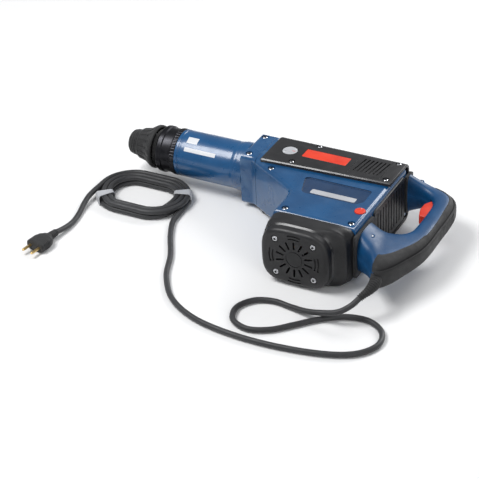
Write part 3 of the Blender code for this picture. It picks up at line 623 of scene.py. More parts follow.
def swept(name, points, radii, finish, sides=32):
    """A round bar along points, with a radius at each of them."""
    rings = []
    for (point, side, other), radius in zip(frames_along([Vector(p) for p in points]), radii):
        turns = [math.tau * k / sides for k in range(sides)]
        rings.append([point + (side * math.cos(t) + other * math.sin(t)) * radius for t in turns])
    return add_piece(name, rings, finish)


def smoothstep(share):
    share = min(1.0, max(0.0, share))
    return share * share * (3 - 2 * share)


def eased(levels, place):
    """The values at a place between levels, each of which is a place and its values."""
    for (a, *first), (b, *second) in zip(levels, levels[1:]):
        if min(a, b) - ROUNDING <= place <= max(a, b) + ROUNDING:
            share = smoothstep((place - a) / (b - a))
            return [p + (q - p) * share for p, q in zip(first, second)]
    return levels[-1][1:]


# The cord, its coil, ties, plug and strain relief

# Where in a turn, in degrees, the cord climbs or moves to the next place in its layer
CLIMB = (290, 360)
LOWER_SHIFT = (282, 358)
UPPER_SHIFT = (200, 280)
TURN_STEPS = 60
COIL_TURNS = 5.5
LAYER_TURNS = 3
CORD_D = 2 * CORD_R


def coil_point(turn, beyond, z):
    """A point on the oval that lies a distance outside the coil's middle turn."""
    radius = COIL_R + beyond
    x = math.copysign(COIL_STRAIGHT, math.cos(turn)) + radius * math.cos(turn)
    return Vector((COIL_X + x, COIL_Y + radius * math.sin(turn), z))


def shift_share(turn, degrees):
    """How much of a move between two angles is done at a turn, from 0 to 1."""
    start, end = math.radians(degrees[0]), math.radians(degrees[1])
    return smoothstep((turn - start) / (end - start))


def coil_route():
    """Lower layer inwards, a climb, then the upper layer outwards, ending at the left."""
    points = []
    steps = round(COIL_TURNS * TURN_STEPS)
    for k in range(1, steps + 1):
        total = math.tau * k / TURN_STEPS
        whole = int(total / math.tau + ROUNDING)
        turn = total - whole * math.tau
        z = FLOOR_Z
        if whole < LAYER_TURNS:
            shift = whole + shift_share(turn, LOWER_SHIFT)
            beyond = CORD_D * (1 - min(shift, 2))
            if whole == LAYER_TURNS - 1:
                z += CORD_D * shift_share(turn, CLIMB)
        else:
            shift = whole - LAYER_TURNS + shift_share(turn, UPPER_SHIFT)
            beyond = CORD_D * (min(shift, 2) - 1)
            z += CORD_D
        points.append(coil_point(turn, beyond, z))
    return points


def make_cord():
    curve = bpy.data.curves.new("mains_cord", "CURVE")
    curve.dimensions = "3D"
    curve.bevel_depth = CORD_R * MM
    curve.bevel_resolution = 6
    curve.use_fill_caps = True
    points = smooth_route([*LEAD_ROUTE, *coil_route(), *TAIL_ROUTE], 6)
    line = curve.splines.new("POLY")
    line.points.add(len(points) - 1)
    for place, point in zip(line.points, points):
        place.co = (*(point * MM), 1)
    curve.materials.append(CORD)
    cord = bpy.data.objects.new("mains_cord", curve)
    bpy.context.collection.objects.link(cord)
    length = sum((b - a).length for a, b in zip(points, points[1:])) * MM
    return fit(cord, "housing", "cord_lead", "cord_coil", "cord_tail"), length


TIE_STEPS = 8


def make_tie(name, turn):
    """A hook-and-loop strap round the coil's section."""
    half_wide, thick, thin = 7, 1.1, 0.3
    reach = 1.5 * CORD_D + 0.3
    low, high = FLOOR_Z - CORD_R, FLOOR_Z + 1.5 * CORD_D + 0.3
    inner = rounded([(-reach, low, 3.5), (reach, low, 3.5), (reach, high, 4), (-reach, high, 4)])
    outer = [Vector((p.x, max(p.y, low - thin))) for p in offset(inner, thick)]
    rings = []
    for outline, way in ((outer, 1), (inner, -1)):
        for k in range(TIE_STEPS + 1):
            across = way * half_wide * (2 * k / TIE_STEPS - 1)
            rings.append([coil_point(turn + across / COIL_R, p.x, p.y) for p in outline])
    return fit(soften(add_piece(name, rings, GREY, closed=True), 0.25, 2), "housing")


def make_strain_relief():
    """A tapered boot whose ribs let it bend; its tip reaches over the cord's first millimetres."""
    ribs = 11
    tip = Vector(LEAD_ROUTE[0]) + (Vector(LEAD_ROUTE[1]) - Vector(LEAD_ROUTE[0])).normalized() * 2
    points = smooth_route([*RELIEF_ROUTE, tip], 0.5)
    plain = 0.36  # the share of its length that sits in the handle
    radii = []
    for i in range(len(points)):
        share = i / (len(points) - 1)
        taper = smoothstep((share - plain) / (1 - plain))
        wave = math.sin(math.tau * ribs * (share - plain) / (1 - plain))
        notch = 1.0 * smoothstep((wave - 0.1) / 0.5) if plain < share < 0.97 else 0.0
        radii.append(RELIEF_R + (RELIEF_TIP_R - RELIEF_R) * taper - notch)
    return fit(swept("cord_boot", points, radii, RUBBER, 48), "housing", "strain_relief")


def relief_bore():
    """A cutter that leaves room for the boot's upper end."""
    ends = RELIEF_ROUTE[:2]
    return swept("boot_bore", ends, [RELIEF_R + GAP] * len(ends), RUBBER, 48)


def plug_direction():
    along = (Vector(TAIL_ROUTE[-1]) - Vector(TAIL_ROUTE[-2])) * Vector((1, 1, 0))
    return along.normalized()


PLUG_START = Vector(TAIL_ROUTE[-1]) + plug_direction() * 0.6
# Distance from the cord, then half width, half height and squareness
PLUG_LEVELS = [
    (0, 6.3, 6.3, 2), (16, 7.2, 7.2, 2), (20, 12, 8.5, 2.4), (26, 16, 9.5, 2.8),
    (34, 18, 10, 3), (50, 18, 10, 3), (52, 17, 9, 3),
]
PLUG_STEPS = 104
PLUG_SIDES = 72
PIN_SPACING = 19
# The pins' distances from the plug's start, and their radii there
PIN_LEVELS = [(49, 2.4), (69, 2.4), (70.2, 2.1), (70.8, 1.6), (71, 0.9)]


def plug_rib(reach, deep, pitch):
    """How far a ribbed stretch of the plug is cut back at a distance from the cord."""
    return deep * smoothstep((math.sin(math.tau * reach / pitch) - 0.1) / 0.5)


def make_plug():
    along = plug_direction()
    side = Vector((-along.y, along.x, 0))
    rings = []
    for k in range(PLUG_STEPS + 1):
        reach = PLUG_LEVELS[-1][0] * k / PLUG_STEPS
        half_wide, half_high, power = eased(PLUG_LEVELS, reach)
        trim = 0.0
        if reach < 15:
            trim = plug_rib(reach, 0.8, 3.2)
        elif 30 < reach < 46:
            trim = plug_rib(reach, 0.7, 3.0)
        outline = superellipse(half_wide - trim, half_high - 0.25 * trim, power, PLUG_SIDES)
        middle = PLUG_START + along * reach
        rings.append([middle + side * wide + Vector((0, 0, high)) for wide, high in outline])
    body = fit(add_piece("plug_body", rings, RUBBER), "housing", "plug")
    pins = []
    for i, way in enumerate((-1, 1)):
        root = PLUG_START + side * way * PIN_SPACING / 2
        points = [root + along * reach for reach, radius in PIN_LEVELS]
        radii = [radius for reach, radius in PIN_LEVELS]
        pins.append(fit(swept(f"plug_pin_{i + 1}", points, radii, BRASS), "housing"))
    return [body, *pins]


def make_cord_set():
    cord, length = make_cord()
    boot = make_strain_relief()
    ties = [make_tie("coil_tie_left", math.radians(228)), make_tie("coil_tie_right", math.radians(24))]
    tuple(Vector(LEAD_ROUTE[0]) * MM)
    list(make_plug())


# The stage: camera, floor and lights

CAMERA_PLACE = Vector((1166.1, -2214.4, 1598.9))
CAMERA_AIM = Vector((4, -99, 40))
CAMERA_ROLL = math.radians(-2.711)
CAMERA_LENS = 133.4


def make_camera():
    data = bpy.data.cameras.new("camera")
    data.lens = CAMERA_LENS
    camera = bpy.data.objects.new("camera", data)
    back = (CAMERA_PLACE - CAMERA_AIM).normalized()
    right = Vector((0, 0, 1)).cross(back).normalized()
    above = back.cross(right)
    rolled = right * math.cos(CAMERA_ROLL) + above * math.sin(CAMERA_ROLL)
    up = above * math.cos(CAMERA_ROLL) - right * math.sin(CAMERA_ROLL)
    turn = Matrix((rolled, up, back)).transposed()
    camera.matrix_world = Matrix.Translation(CAMERA_PLACE * MM) @ turn.to_4x4()
    bpy.context.collection.objects.link(camera)
    bpy.context.scene.camera = camera


def make_light(name, place, size, power):
    data = bpy.data.lights.new(name, "AREA")
    data.size = size
    data.energy = power
    light = bpy.data.objects.new(name, data)
    light.location = place
    light.rotation_euler = (-Vector(place)).to_track_quat("-Z", "Y").to_euler()
    bpy.context.collection.objects.link(light)


def make_stage():
    half = 6000
    corners = [(-half, -half), (half, -half), (half, half), (-half, half)]
    rings = [[(x, y, z) for x, y in corners] for z in (-20, 0)]
    add_piece("studio_floor", rings, make_stage_finish())
    make_light("key_light", (-0.98, -0.74, 2.12), 1.1, 50)
    make_light("fill_light", (1.8, -1.6, 1.4), 1.6, 17)
    make_light("back_light", (0.6, 1.9, 1.3), 1.2, 34)
    world = bpy.data.worlds.new("studio")
    world.use_nodes = True
    background = world.node_tree.nodes["Background"]
    background.inputs["Color"].default_value = (0.93, 0.95, 1.0, 1)
    background.inputs["Strength"].default_value = 0.34
    bpy.context.scene.world = world
    bpy.context.scene.view_settings.view_transform = "Standard"


# Fasteners

LOBES = 6
LOBE_STEPS = 8


def star_tool(name, radius, low, high):
    """The six-lobed socket of a screw, as a cutter along Z."""
    ring = []
    for k in range(LOBES * LOBE_STEPS):
        turn = math.tau * k / (LOBES * LOBE_STEPS)
        ring.append(polar(radius * (0.84 + 0.16 * math.cos(LOBES * turn)), turn))
    return add_piece(name, [[(x, y, z) for x, y in ring] for z in (low, high)], BLACK_METAL)


ABOVE = 4  # how far a cutter stands out of the face that it cuts
SCREW_RIM = 0.25
DOME_STEPS = 6


def screw_mesh(radius, height, depth):
    """A pan-head screw that stands on the origin and points up Z."""
    dome = [(-depth, radius * 0.42), (0, radius * 0.42), (0, radius * 0.94), (SCREW_RIM, radius)]
    for k in range(DOME_STEPS + 1):
        turn = math.pi / 2 * k / DOME_STEPS
        level = SCREW_RIM + (height - SCREW_RIM) * math.sin(turn)
        dome.append((level, radius * (0.45 + 0.55 * math.cos(turn))))
    screw = turned("screw_pattern", "Z", (0, 0, 0), dome, SCREW_STEEL, 48)
    cut(screw, star_tool("screw_socket", radius * 0.52, height * 0.25, height + 1))
    mesh = screw.data
    bpy.data.objects.remove(screw)
    return mesh


def place_screw(name, mesh, place, direction, turn):
    """A screw at a place, its head towards a direction, turned about its own axis."""
    screw = bpy.data.objects.new(name, mesh)
    aim = Vector(direction).to_track_quat("Z", "Y").to_matrix().to_4x4()
    screw.matrix_world = (
        Matrix.Translation(Vector(place) * MM) @ aim @ Matrix.Rotation(turn, 4, "Z")
    )
    bpy.context.collection.objects.link(screw)
    return screw


def screw_wells(name, places, top, depth, radius, finish):
    """Cutters that sink screws into a top face."""
    return [
        cylinder(f"{name}_{i}", "Z", (x, y, top), -depth, ABOVE, radius, finish)
        for i, (x, y) in enumerate(places)
    ]


def add_screws(name, mesh, places, level):
    """Upright screws, numbered from 1, no two turned the same way."""
    for i, (x, y) in enumerate(places):
        fit(place_screw(f"{name}_{i + 1}", mesh, (x, y, level), (0, 0, 1), i), "housing")


# The chuck

def make_dust_cap():
    nose = span("dust_cap")[0].x
    profile = turned_profile([
        (nose, SOCKET_R + 0.8, 0.8), (nose, 17.4, 2.0), (nose + 3.2, 20.9, 2.0),
        (nose + 9.0, 22.6, 3.0), (nose + 17.8, 23.5, 1.2), (nose + 19, 22.5, 0.6),
        (nose + 19, HOLDER_R + GAP, 0), (nose + 8.7, HOLDER_R + GAP, 0),
        (nose + 8.7, SOCKET_R + 0.8, 0),
    ], 6, 0.7)

    def grooves(along, radius, turn):
        depth = 0.0
        for middle in (nose + 6.2, nose + 10.6, nose + 15.0):
            depth += 0.9 * math.exp(-((along - middle) / 0.7) ** 2)
        return -depth if radius > 19 else 0.0

    cap = turned("dust_cap_lip", "X", AXIS, profile, RUBBER, hollow=True, shape=grooves)
    fit(cap, "spindle", "dust_cap")


SLEEVE_FLUTES = 18


def make_locking_sleeve():
    start, end = SLEEVE_LOW.x, SLEEVE_HIGH.x
    profile = turned_profile([
        (start, HOLDER_R + 0.6, 0.4), (start, 25.3, 0.9), (start + 2.2, 27.0, 2.0),
        (start + 17, 30.2, 6.0), (start + 24, 34.6, 5.0), (start + 30, 38.3, 2.5),
        (start + 34.3, 38.4, 1.5), (start + 35.6, 37.4, 0.6), (end, 34.8, 0.3), (end - 12, 31, 0),
        (end - 16, 24.6, 0), (end - 23, 24.6, 0), (end - 23, HOLDER_R + 0.6, 0),
    ], 6, 0.9)

    def flutes(along, radius, turn):
        if radius < 25.5 or along < start + 3 or along > end - 2.4:
            return 0.0
        window = smoothstep((along - start - 3) / 4) * smoothstep((end - 3.2 - along) / 4)
        wave = smoothstep((math.cos(SLEEVE_FLUTES * turn) - 0.05) / 0.5)
        inside = radius < 33 and along > end - 15
        return 0.0 if inside else -1.3 * window * wave

    sleeve = turned(
        "locking_sleeve_grip", "X", AXIS, profile, RUBBER,
        sides=SLEEVE_FLUTES * 14, hollow=True, shape=flutes,
    )
    fit(sleeve, "sleeve", "locking_sleeve")


# Folds of the front seal and of the bellows behind the body
FOLDS = 3
BELLOWS_STEPS = 24


def make_front_seal():
    low, high = span("front_seal")
    outer = (high.y - low.y) / 2
    inner = 26.3
    profile = [(low.x, inner), (low.x, outer - 1.2)]
    for k in range(BELLOWS_STEPS + 1):
        share = k / BELLOWS_STEPS
        wave = 0.55 * (1 - math.cos(math.tau * FOLDS * share))
        profile.append((low.x + 0.4 + (high.x - low.x - 0.8) * share, outer - wave))
    profile += [(high.x, outer - 1.2), (high.x, inner)]
    seal = turned("front_seal_bellows", "X", AXIS, profile, RUBBER, hollow=True)
    fit(seal, "housing", "front_seal")


# The collar and the barrel

COLLAR_NOTCHES = 48


def make_front_collar():
    start, end = COLLAR_LOW.x, COLLAR_HIGH.x
    outer = BARREL_R
    profile = turned_profile([
        (start, 27, 0), (start, 38.4, 1.5), (start + 3, outer, 1.5), (start + 10.4, outer, 0.6),
        (start + 12, outer - 2, 0.6), (start + 28, outer - 2, 0.6), (start + 29.6, outer, 0.6),
        (end - 0.6, outer, 0.4), (end, outer - 0.6, 0.3), (end, 36.3, 0), (start + 9, 36.3, 0),
        (start + 9, 27, 0),
    ], 5, 1.1)

    def notches(along, radius, turn):
        if radius < outer - 0.3 or not start + 29.4 < along < end - 0.3:
            return 0.0
        return -0.55 * smoothstep((math.cos(COLLAR_NOTCHES * turn) - 0.1) / 0.4)

    collar = turned(
        "clamp_collar", "X", AXIS, profile, BLACK_METAL,
        sides=COLLAR_NOTCHES * 6, hollow=True, shape=notches,
    )
    fit(collar, "housing", "front_collar")


def make_barrel():
    start, end = BARREL_LOW.x, BARREL_HIGH.x
    profile = turned_profile([
        (start, 34, 0), (start, BARREL_R - 0.2, 0.9), (start + 5.4, BARREL_R - 0.2, 0.4),
        (start + 6.2, BARREL_R - 1.1, 0.4), (start + 8.4, BARREL_R - 1.1, 0.4),
        (start + 9.2, BARREL_R - 0.2, 0.4), (end - 24, BARREL_R - 0.2, 2.0),
        (end - 18, BARREL_R + 0.9, 2.0), (end - 14.2, BARREL_R + 0.9, 0.5),
        (end - 13.4, FLANGE_R, 0.7), (end, FLANGE_R, 0), (end, 34, 0),
    ], 5, 6)
    barrel = turned("barrel_casing", "X", AXIS, profile, BLUE, 144, hollow=True)
    fit(barrel, "housing", "barrel_tube")


# Each band's ends along the axis, then its middle and half width as degrees about the axis
BARREL_BANDS = [(-184, -124, 139, 5), (-184, -164, 113, 9)]
BAND_STEPS = 14


def make_barrel_bands():
    """Two plain bands, printed where such tools carry lettering."""
    for i, (start, end, middle, half) in enumerate(BARREL_BANDS):
        rings = []
        for k in range(BAND_STEPS + 1):
            turn = math.radians(middle + half * (2 * k / BAND_STEPS - 1))
            rings.append([
                about("X", AXIS, along, BARREL_R + proud, turn)
                for along, proud in ((start, -0.7), (end, -0.7), (end, -0.1), (start, -0.1))
            ])
        fit(add_piece(f"barrel_band_{i + 1}", rings, GREY), "housing")


# The gear housing and what is on it

HOUSING_FRONT_X = HOUSING_LOW.x
HOUSING_REAR_X = HOUSING_HIGH.x
SEAM_Y = HOUSING_LOW.y
BODY_TOP_Y = COVER_HIGH.y - COVER_WALL - GAP - 0.2
HOUSING_TOP_Z = HOUSING_HIGH.z
SCREW_LIFT = 0.1  # between a screw's head and the bottom of its well
BOLT_WELL_DEPTH = 3.4
COVER_WELL_DEPTH = 2.9
PANEL = [(76, -17, 12), (172, -17, 10), (182, -6, 8), (182, 31, 6), (62, 31, 6)]
LABEL_SEAT = rectangle(88, -11, 168, 2, 3)
CASE_BOLTS = [(-58, 62), (-58, 122), (-2, 33), (74, -70), (190, -70)]


def housing_outline():
    """The gear housing seen from the left: barrel neck, slanting underside and motor box."""
    front_x = HOUSING_FRONT_X
    box_x = MOTOR_LOW.x
    return rounded([
        (front_x, 50, 0), (-48, 50, 12), (14, 12, 30), (54, -14, 20), (box_x, -40, 20),
        (box_x, SEAM_Y, 0), (HOUSING_REAR_X, SEAM_Y, 0), (HOUSING_REAR_X, BODY_TOP_Y, 10),
        (COVER_LOW.x - GAP - 1, BODY_TOP_Y, 0), (COVER_LOW.x - GAP - 1, HOUSING_HIGH.y, 0),
        (front_x, HOUSING_HIGH.y, 0),
    ], 10)


def make_gear_housing():
    housing = pillow("gear_case", housing_outline(), HOUSING_LOW.z, HOUSING_TOP_Z, 9, BLUE, 8)
    front, rear = HOUSING_FRONT_X, HOUSING_REAR_X
    inner = rounded([
        (front + WALL, 54, 0), (-46, 54, 8), (16, 17, 26), (57, -10, 16), (66, -38, 16),
        (66, SEAM_Y - 10, 0), (rear - WALL, SEAM_Y - 10, 0), (rear - WALL, BODY_TOP_Y - WALL, 8),
        (front + WALL, BODY_TOP_Y - WALL, 0),
    ], 4)
    reach = BODY_HALF - WALL
    hollow = pillow("case_hollow", inner, AXIS_Z - reach, AXIS_Z + reach, 6, CAST, 2)
    top = HOUSING_TOP_Z
    mouth = cylinder("barrel_mouth", "X", AXIS, front - 5, front + 12, 34.5, CAST, 72)
    seat = cylinder("dial_seat", "Z", (DIAL_X, DIAL_Y, top), -2.2, ABOVE, 9.4, BLACK, 72)
    cut(housing, hollow, mouth, seat)
    # The recess floors take these cutters' darker blue, which is painted shade.
    panel = pillow("side_panel", rounded(PANEL, 6), top - 1.8, top + 3, 0.8, SHADED_PANEL_BLUE, 4)
    label = pillow("plate_seat", rounded(LABEL_SEAT, 6), top - 2.5, top + 3, 0.4, SHADED_PANEL_BLUE, 2)
    cut(housing, panel, label)
    cut(housing, ring_groove("neck_groove", front + 31, 0.8))
    cut(housing, *screw_wells("bolt_well", CASE_BOLTS, top, BOLT_WELL_DEPTH, 6.2, BLUE))
    fit(housing, "housing", "gear_housing")


def ring_groove(name, x, width):
    """A shallow parting groove across the neck of the housing."""
    low, high = HOUSING_LOW, HOUSING_HIGH
    deep = 0.7
    outer = rounded(rectangle(40, low.z - 5, 140, high.z + 5, 0))
    inner = rounded(rectangle(48, low.z + deep, high.y - deep, high.z - deep, 9))
    rings = [[(x + dx, p.x, p.y) for p in outer] for dx in (0, width)]
    core_rings = [[(x + dx, p.x, p.y) for p in inner] for dx in (-1, width + 1)]
    return cut(add_piece(name, rings, BLUE), add_piece("groove_core", core_rings, BLUE))


def make_case_trim():
    outline = offset(rounded(LABEL_SEAT, 6), -0.35)
    label = pillow("blank_label", outline, HOUSING_TOP_Z - 2.4, HOUSING_TOP_Z - 1.5, 0.25, GREY, 3)
    fit(label, "housing")
    level = HOUSING_TOP_Z - BOLT_WELL_DEPTH + SCREW_LIFT
    add_screws("case_bolt", screw_mesh(4.9, 2.6, 2), CASE_BOLTS, level)


# The top cover

STRIPE = rectangle(32, 78, 112, 103, 2)
COVER_SCREWS = [(24, 57), (190, 65), (190, 120), (46, 120)]
COVER_EDGE = 1.6
COVER_RISE = 11  # how far the cover's lower edge climbs towards the rear


def cover_section(x, inset):
    """The cover's section square to the axis, bevelled where its left side ends."""
    inside = BODY_HALF + GAP
    low, high, top_y = COVER_LOW.z, COVER_HIGH.z, COVER_HIGH.y
    roof = BODY_TOP_Y + GAP + 0.15
    edge = COVER_LOW.y + COVER_RISE * (x - COVER_LOW.x) / (COVER_HIGH.x - COVER_LOW.x)
    section = rounded([
        (edge, low, COVER_EDGE), (top_y, low, 15), (top_y, high, 15), (edge + 2.0, high, 0),
        (edge, high - 1.5, 0), (edge, AXIS_Z + inside, 0), (roof, AXIS_Z + inside, 7.5),
        (roof, AXIS_Z - inside, 7.5), (edge, AXIS_Z - inside, 0),
    ], 10)
    return [(x, p.x, p.y) for p in offset(section, -inset)]


def make_top_cover():
    high = COVER_HIGH.z
    levels = edge_levels(COVER_LOW.x, COVER_HIGH.x, COVER_EDGE, 5)
    cover = add_piece("top_shell", [cover_section(x, inset * 0.8) for x, inset in levels], BLACK)
    centre = (KNOB_X, KNOB_Y, high)
    seat = cylinder("selector_seat", "Z", centre, -2.5, ABOVE, KNOB_R + 0.4, BLACK, 96)
    wells = screw_wells("cover_well", COVER_SCREWS, high, COVER_WELL_DEPTH, 5.4, BLACK)
    cut(cover, seat, *wells)
    recess = pillow("stripe_seat", offset(rounded(STRIPE, 6), 0.3), high - 0.9, high + 3, 0.2, BLACK, 2)
    panel = []
    for i, x in enumerate((122, 180)):
        groove = rounded(rectangle(x, 60, x + 1.2, 128, 0.5), 2)
        panel.append(pillow(f"cover_groove_{i}", groove, high - 0.8, high + 3, 0.1, BLACK, 1))
    cut(cover, recess, *panel)
    cut(cover, *cover_vents(high), *roof_grooves())
    lowest = (COVER_LOW.x, COVER_LOW.y, high - COVER_EDGE)
    # Painted highlight: the bevel along the cover's lower edge takes the paler, smoother black.
    polish_with_painted_glint(cover, lowest, (COVER_HIGH.x, COVER_LOW.y + COVER_RISE + 3, high + 1))
    fit(cover, "housing", "top_cover")


VENT_COUNT = 7


def cover_vents(high):
    """Slanting intake slots near the cover's rear end."""
    slots = []
    for i in range(VENT_COUNT):
        x = 128 + 7 * i
        slot = rounded([(x, 70, 1.2), (x + 2.8, 70, 1.2), (x + 8.8, 112, 1.2), (x + 6, 112, 1.2)], 3)
        slots.append(pillow(f"cover_vent_{i}", slot, high - 2.4, high + 3, 0.1, BLACK, 1))
    return slots


ROOF_GROOVES = 5
ROOF_GROOVE_STEP = 11
ROOF_GROOVE_HALF = 1.3
ROOF_GROOVE_DEPTH = 0.9


def roof_grooves():
    """Long shallow grooves along the cover's roof."""
    tools = []
    for i in range(ROOF_GROOVES):
        z = AXIS_Z + ROOF_GROOVE_STEP * (i - (ROOF_GROOVES - 1) / 2)
        low = (COVER_LOW.x + 22, COVER_HIGH.y - ROOF_GROOVE_DEPTH, z - ROOF_GROOVE_HALF)
        high = (COVER_HIGH.x - 22, COVER_HIGH.y + 3, z + ROOF_GROOVE_HALF)
        tools.append(block(f"roof_groove_{i}", low, high, BLACK))
    return tools


def make_cover_trim():
    top = COVER_HIGH.z
    stripe = pillow("cover_stripe", rounded(STRIPE, 6), top - 0.8, top - 0.05, 0.25, RED, 3)
    fit(stripe, "housing")
    level = top - COVER_WELL_DEPTH + SCREW_LIFT
    add_screws("cover_screw", screw_mesh(4.3, 2.2, 2), COVER_SCREWS, level)


# Controls

KNOB_RIDGES = 36
DIAL_RIDGES = 24


def make_selector():
    low, high = KNOB_LOW.z, KNOB_HIGH.z
    profile = [
        (low, 0.5), (low, KNOB_R), (low + 1.2, KNOB_R), (low + 1.6, KNOB_R - 0.5), (low + 1.6, 0.5),
    ]

    def knurl(along, radius, turn):
        return -0.4 * smoothstep(math.cos(KNOB_RIDGES * turn)) if radius > KNOB_R - 0.2 else 0.0

    centre = (KNOB_X, KNOB_Y, 0)
    knob = turned("selector_knob", "Z", centre, profile, GREY, KNOB_RIDGES * 7, shape=knurl)
    blade = rounded([
        (KNOB_X - 11.6, KNOB_Y - 2.6, 2.5), (KNOB_X + 6, KNOB_Y - 4, 3.5),
        (KNOB_X + 11.8, KNOB_Y, 1.5), (KNOB_X + 6, KNOB_Y + 4, 3.5),
        (KNOB_X - 11.6, KNOB_Y + 2.6, 2.5),
    ], 6)
    join(knob, pillow("knob_blade", blade, low + 0.5, high, 0.35, GREY, 3))
    fit(knob, "mode_selector", "mode_selector")
    mark = rounded(rectangle(KNOB_X + 4, KNOB_Y - 0.6, KNOB_X + 9.5, KNOB_Y + 0.6, 0.3), 3)
    fit(pillow("selector_mark", mark, high - 0.2, high + 0.08, 0.05, RED, 1), "mode_selector")


def make_speed_dial():
    low, high = DIAL_LOW.z, DIAL_HIGH.z
    radius = (DIAL_HIGH.x - DIAL_LOW.x) / 2
    profile = [
        (low, 0.5), (low, radius), (high - 0.6, radius), (high - 0.2, radius - 0.25),
        (high, radius - 0.9), (high, 5.2), (high - 0.7, 4.6), (high - 0.7, 0.5),
    ]

    def ridges(along, reach, turn):
        return -0.5 * smoothstep(math.cos(DIAL_RIDGES * turn)) if reach > radius - 0.5 else 0.0

    centre = (DIAL_X, DIAL_Y, 0)
    dial = turned("dial_wheel", "Z", centre, profile, RED, DIAL_RIDGES * 8, shape=ridges)
    fit(dial, "speed_dial", "speed_dial")
    tick = rounded(rectangle(DIAL_X - 0.5, DIAL_Y + 5.4, DIAL_X + 0.5, DIAL_Y + 8, 0.2), 3)
    fit(pillow("dial_mark", tick, high - 0.2, high + 0.1, 0.05, GREY, 1), "speed_dial")


# The motor housing and its end cover

MOTOR_SIDES = 160
MOTOR_STEPS = 30
SIDE_SLOTS = 6
SIDE_SLOT_PITCH = 8
MOTOR_MIDDLE = (MOTOR_LOW.x + MOTOR_HIGH.x) / 2
MOTOR_HALF = (MOTOR_HIGH.x - MOTOR_LOW.x) / 2
MOTOR_POWER = 3.4
# Level, then the motor housing's middle, half sizes and squareness there
MOTOR_LEVELS = [
    (MOTOR_HIGH.y, MOTOR_MIDDLE, MOTOR_HALF, 49, 7),
    (MOTOR_HIGH.y - 6.7, MOTOR_MIDDLE, MOTOR_HALF, 53, 6),
    (MOTOR_HIGH.y - 21.7, MOTOR_MIDDLE - 2, MOTOR_HALF - 2, 53.8, 5),
    (MOTOR_LOW.y, MOTOR_X, MOTOR_HALF_X, MOTOR_HALF_Z, MOTOR_POWER),
]


def squarish(centre_x, y, half_x, half_z, power):
    """A ring between an ellipse and a rectangle, square to the motor's axis."""
    outline = superellipse(half_x, half_z, power, MOTOR_SIDES)
    return [(centre_x + wide, y, AXIS_Z + high) for wide, high in outline]


def make_motor_housing():
    top, bottom = MOTOR_HIGH.y, MOTOR_LOW.y
    outer, inner = [], []
    for k in range(MOTOR_STEPS + 1):
        y = top + (bottom - top) * k / MOTOR_STEPS
        x, a, b, power = eased(MOTOR_LEVELS, y)
        lip = 0.6 * smoothstep((y - top + 2.2) / 0.8) - 0.5 * smoothstep((bottom + 1.6 - y) / 1.2)
        outer.append(squarish(x, y, a + min(lip, 0), b + min(lip, 0), power))
        inner.append(squarish(x, y, a - WALL, b - WALL, power))
    shell = add_piece("motor_case", outer + inner[::-1], BLACK, closed=True)
    cut(shell, *motor_side_slots())
    fit(shell, "housing", "motor_housing")


def motor_side_slots():
    """Exhaust slots low on the front of the motor housing."""
    tools = []
    for k in range(SIDE_SLOTS):
        z = AXIS_Z + SIDE_SLOT_PITCH * (k - (SIDE_SLOTS - 1) / 2)
        low, high = (MOTOR_LOW.x - 5, -112, z - 1.5), (MOTOR_LOW.x + 9, -96, z + 1.5)
        tools.append(block(f"side_slot_{k}", low, high, BLACK))
    return tools


END_SCREWS_X, END_SCREWS_Z = (-33, 33), (-31, 31)
END_VENTS = 14
END_ARC_RADII = (37.5, 43.0)
END_ARCS = [(0, 17), (90, 15), (180, 17), (270, 15)]  # middle and half width, in degrees
CAP_EDGE_STEPS = 10


def slot_outline(start, end, half_width, turn, steps=6):
    """A slot with round ends along a ray from the motor's axis."""
    outline = []
    for reach, first in ((end, turn - math.pi / 2), (start, turn + math.pi / 2)):
        x, z = polar(reach, turn)
        for k in range(steps + 1):
            across, up = polar(half_width, first + math.pi * k / steps)
            outline.append((x + across, z + up))
    return outline


def arc_outline(radius, half_width, start, end, steps=20):
    """A slot along an arc about the motor's axis."""
    turns = [start + (end - start) * k / steps for k in range(steps + 1)]
    outline = [polar(radius + half_width, turn) for turn in turns]
    return outline + [polar(radius - half_width, turn) for turn in turns[::-1]]


def end_tool(name, outline, low, high):
    rings = [[(MOTOR_X + x, y, AXIS_Z + z) for x, z in outline] for y in (low, high)]
    return add_piece(name, rings, BLACK)


def end_rings(levels):
    """Rings round the motor's axis from (level, inset) pairs."""
    return [
        squarish(MOTOR_X, y, MOTOR_HALF_X - inset, MOTOR_HALF_Z - inset, MOTOR_POWER)
        for y, inset in levels
    ]


def end_vents(low, high):
    """Slots laid out like the spokes of a wheel."""
    tools = []
    for i in range(END_VENTS):
        outline = slot_outline(20, 31, 1.7, math.tau * (i + 0.5) / END_VENTS)
        tools.append(end_tool(f"cap_vent_{i}", outline, low, high))
    return tools


def end_arcs(low, high):
    """Grooves in two broken rings round the vents."""
    tools = []
    for radius in END_ARC_RADII:
        for middle, half in END_ARCS:
            outline = arc_outline(radius, 1.3, math.radians(middle - half), math.radians(middle + half))
            tools.append(end_tool(f"cap_arc_{radius}_{middle}", outline, low, high))
    return tools


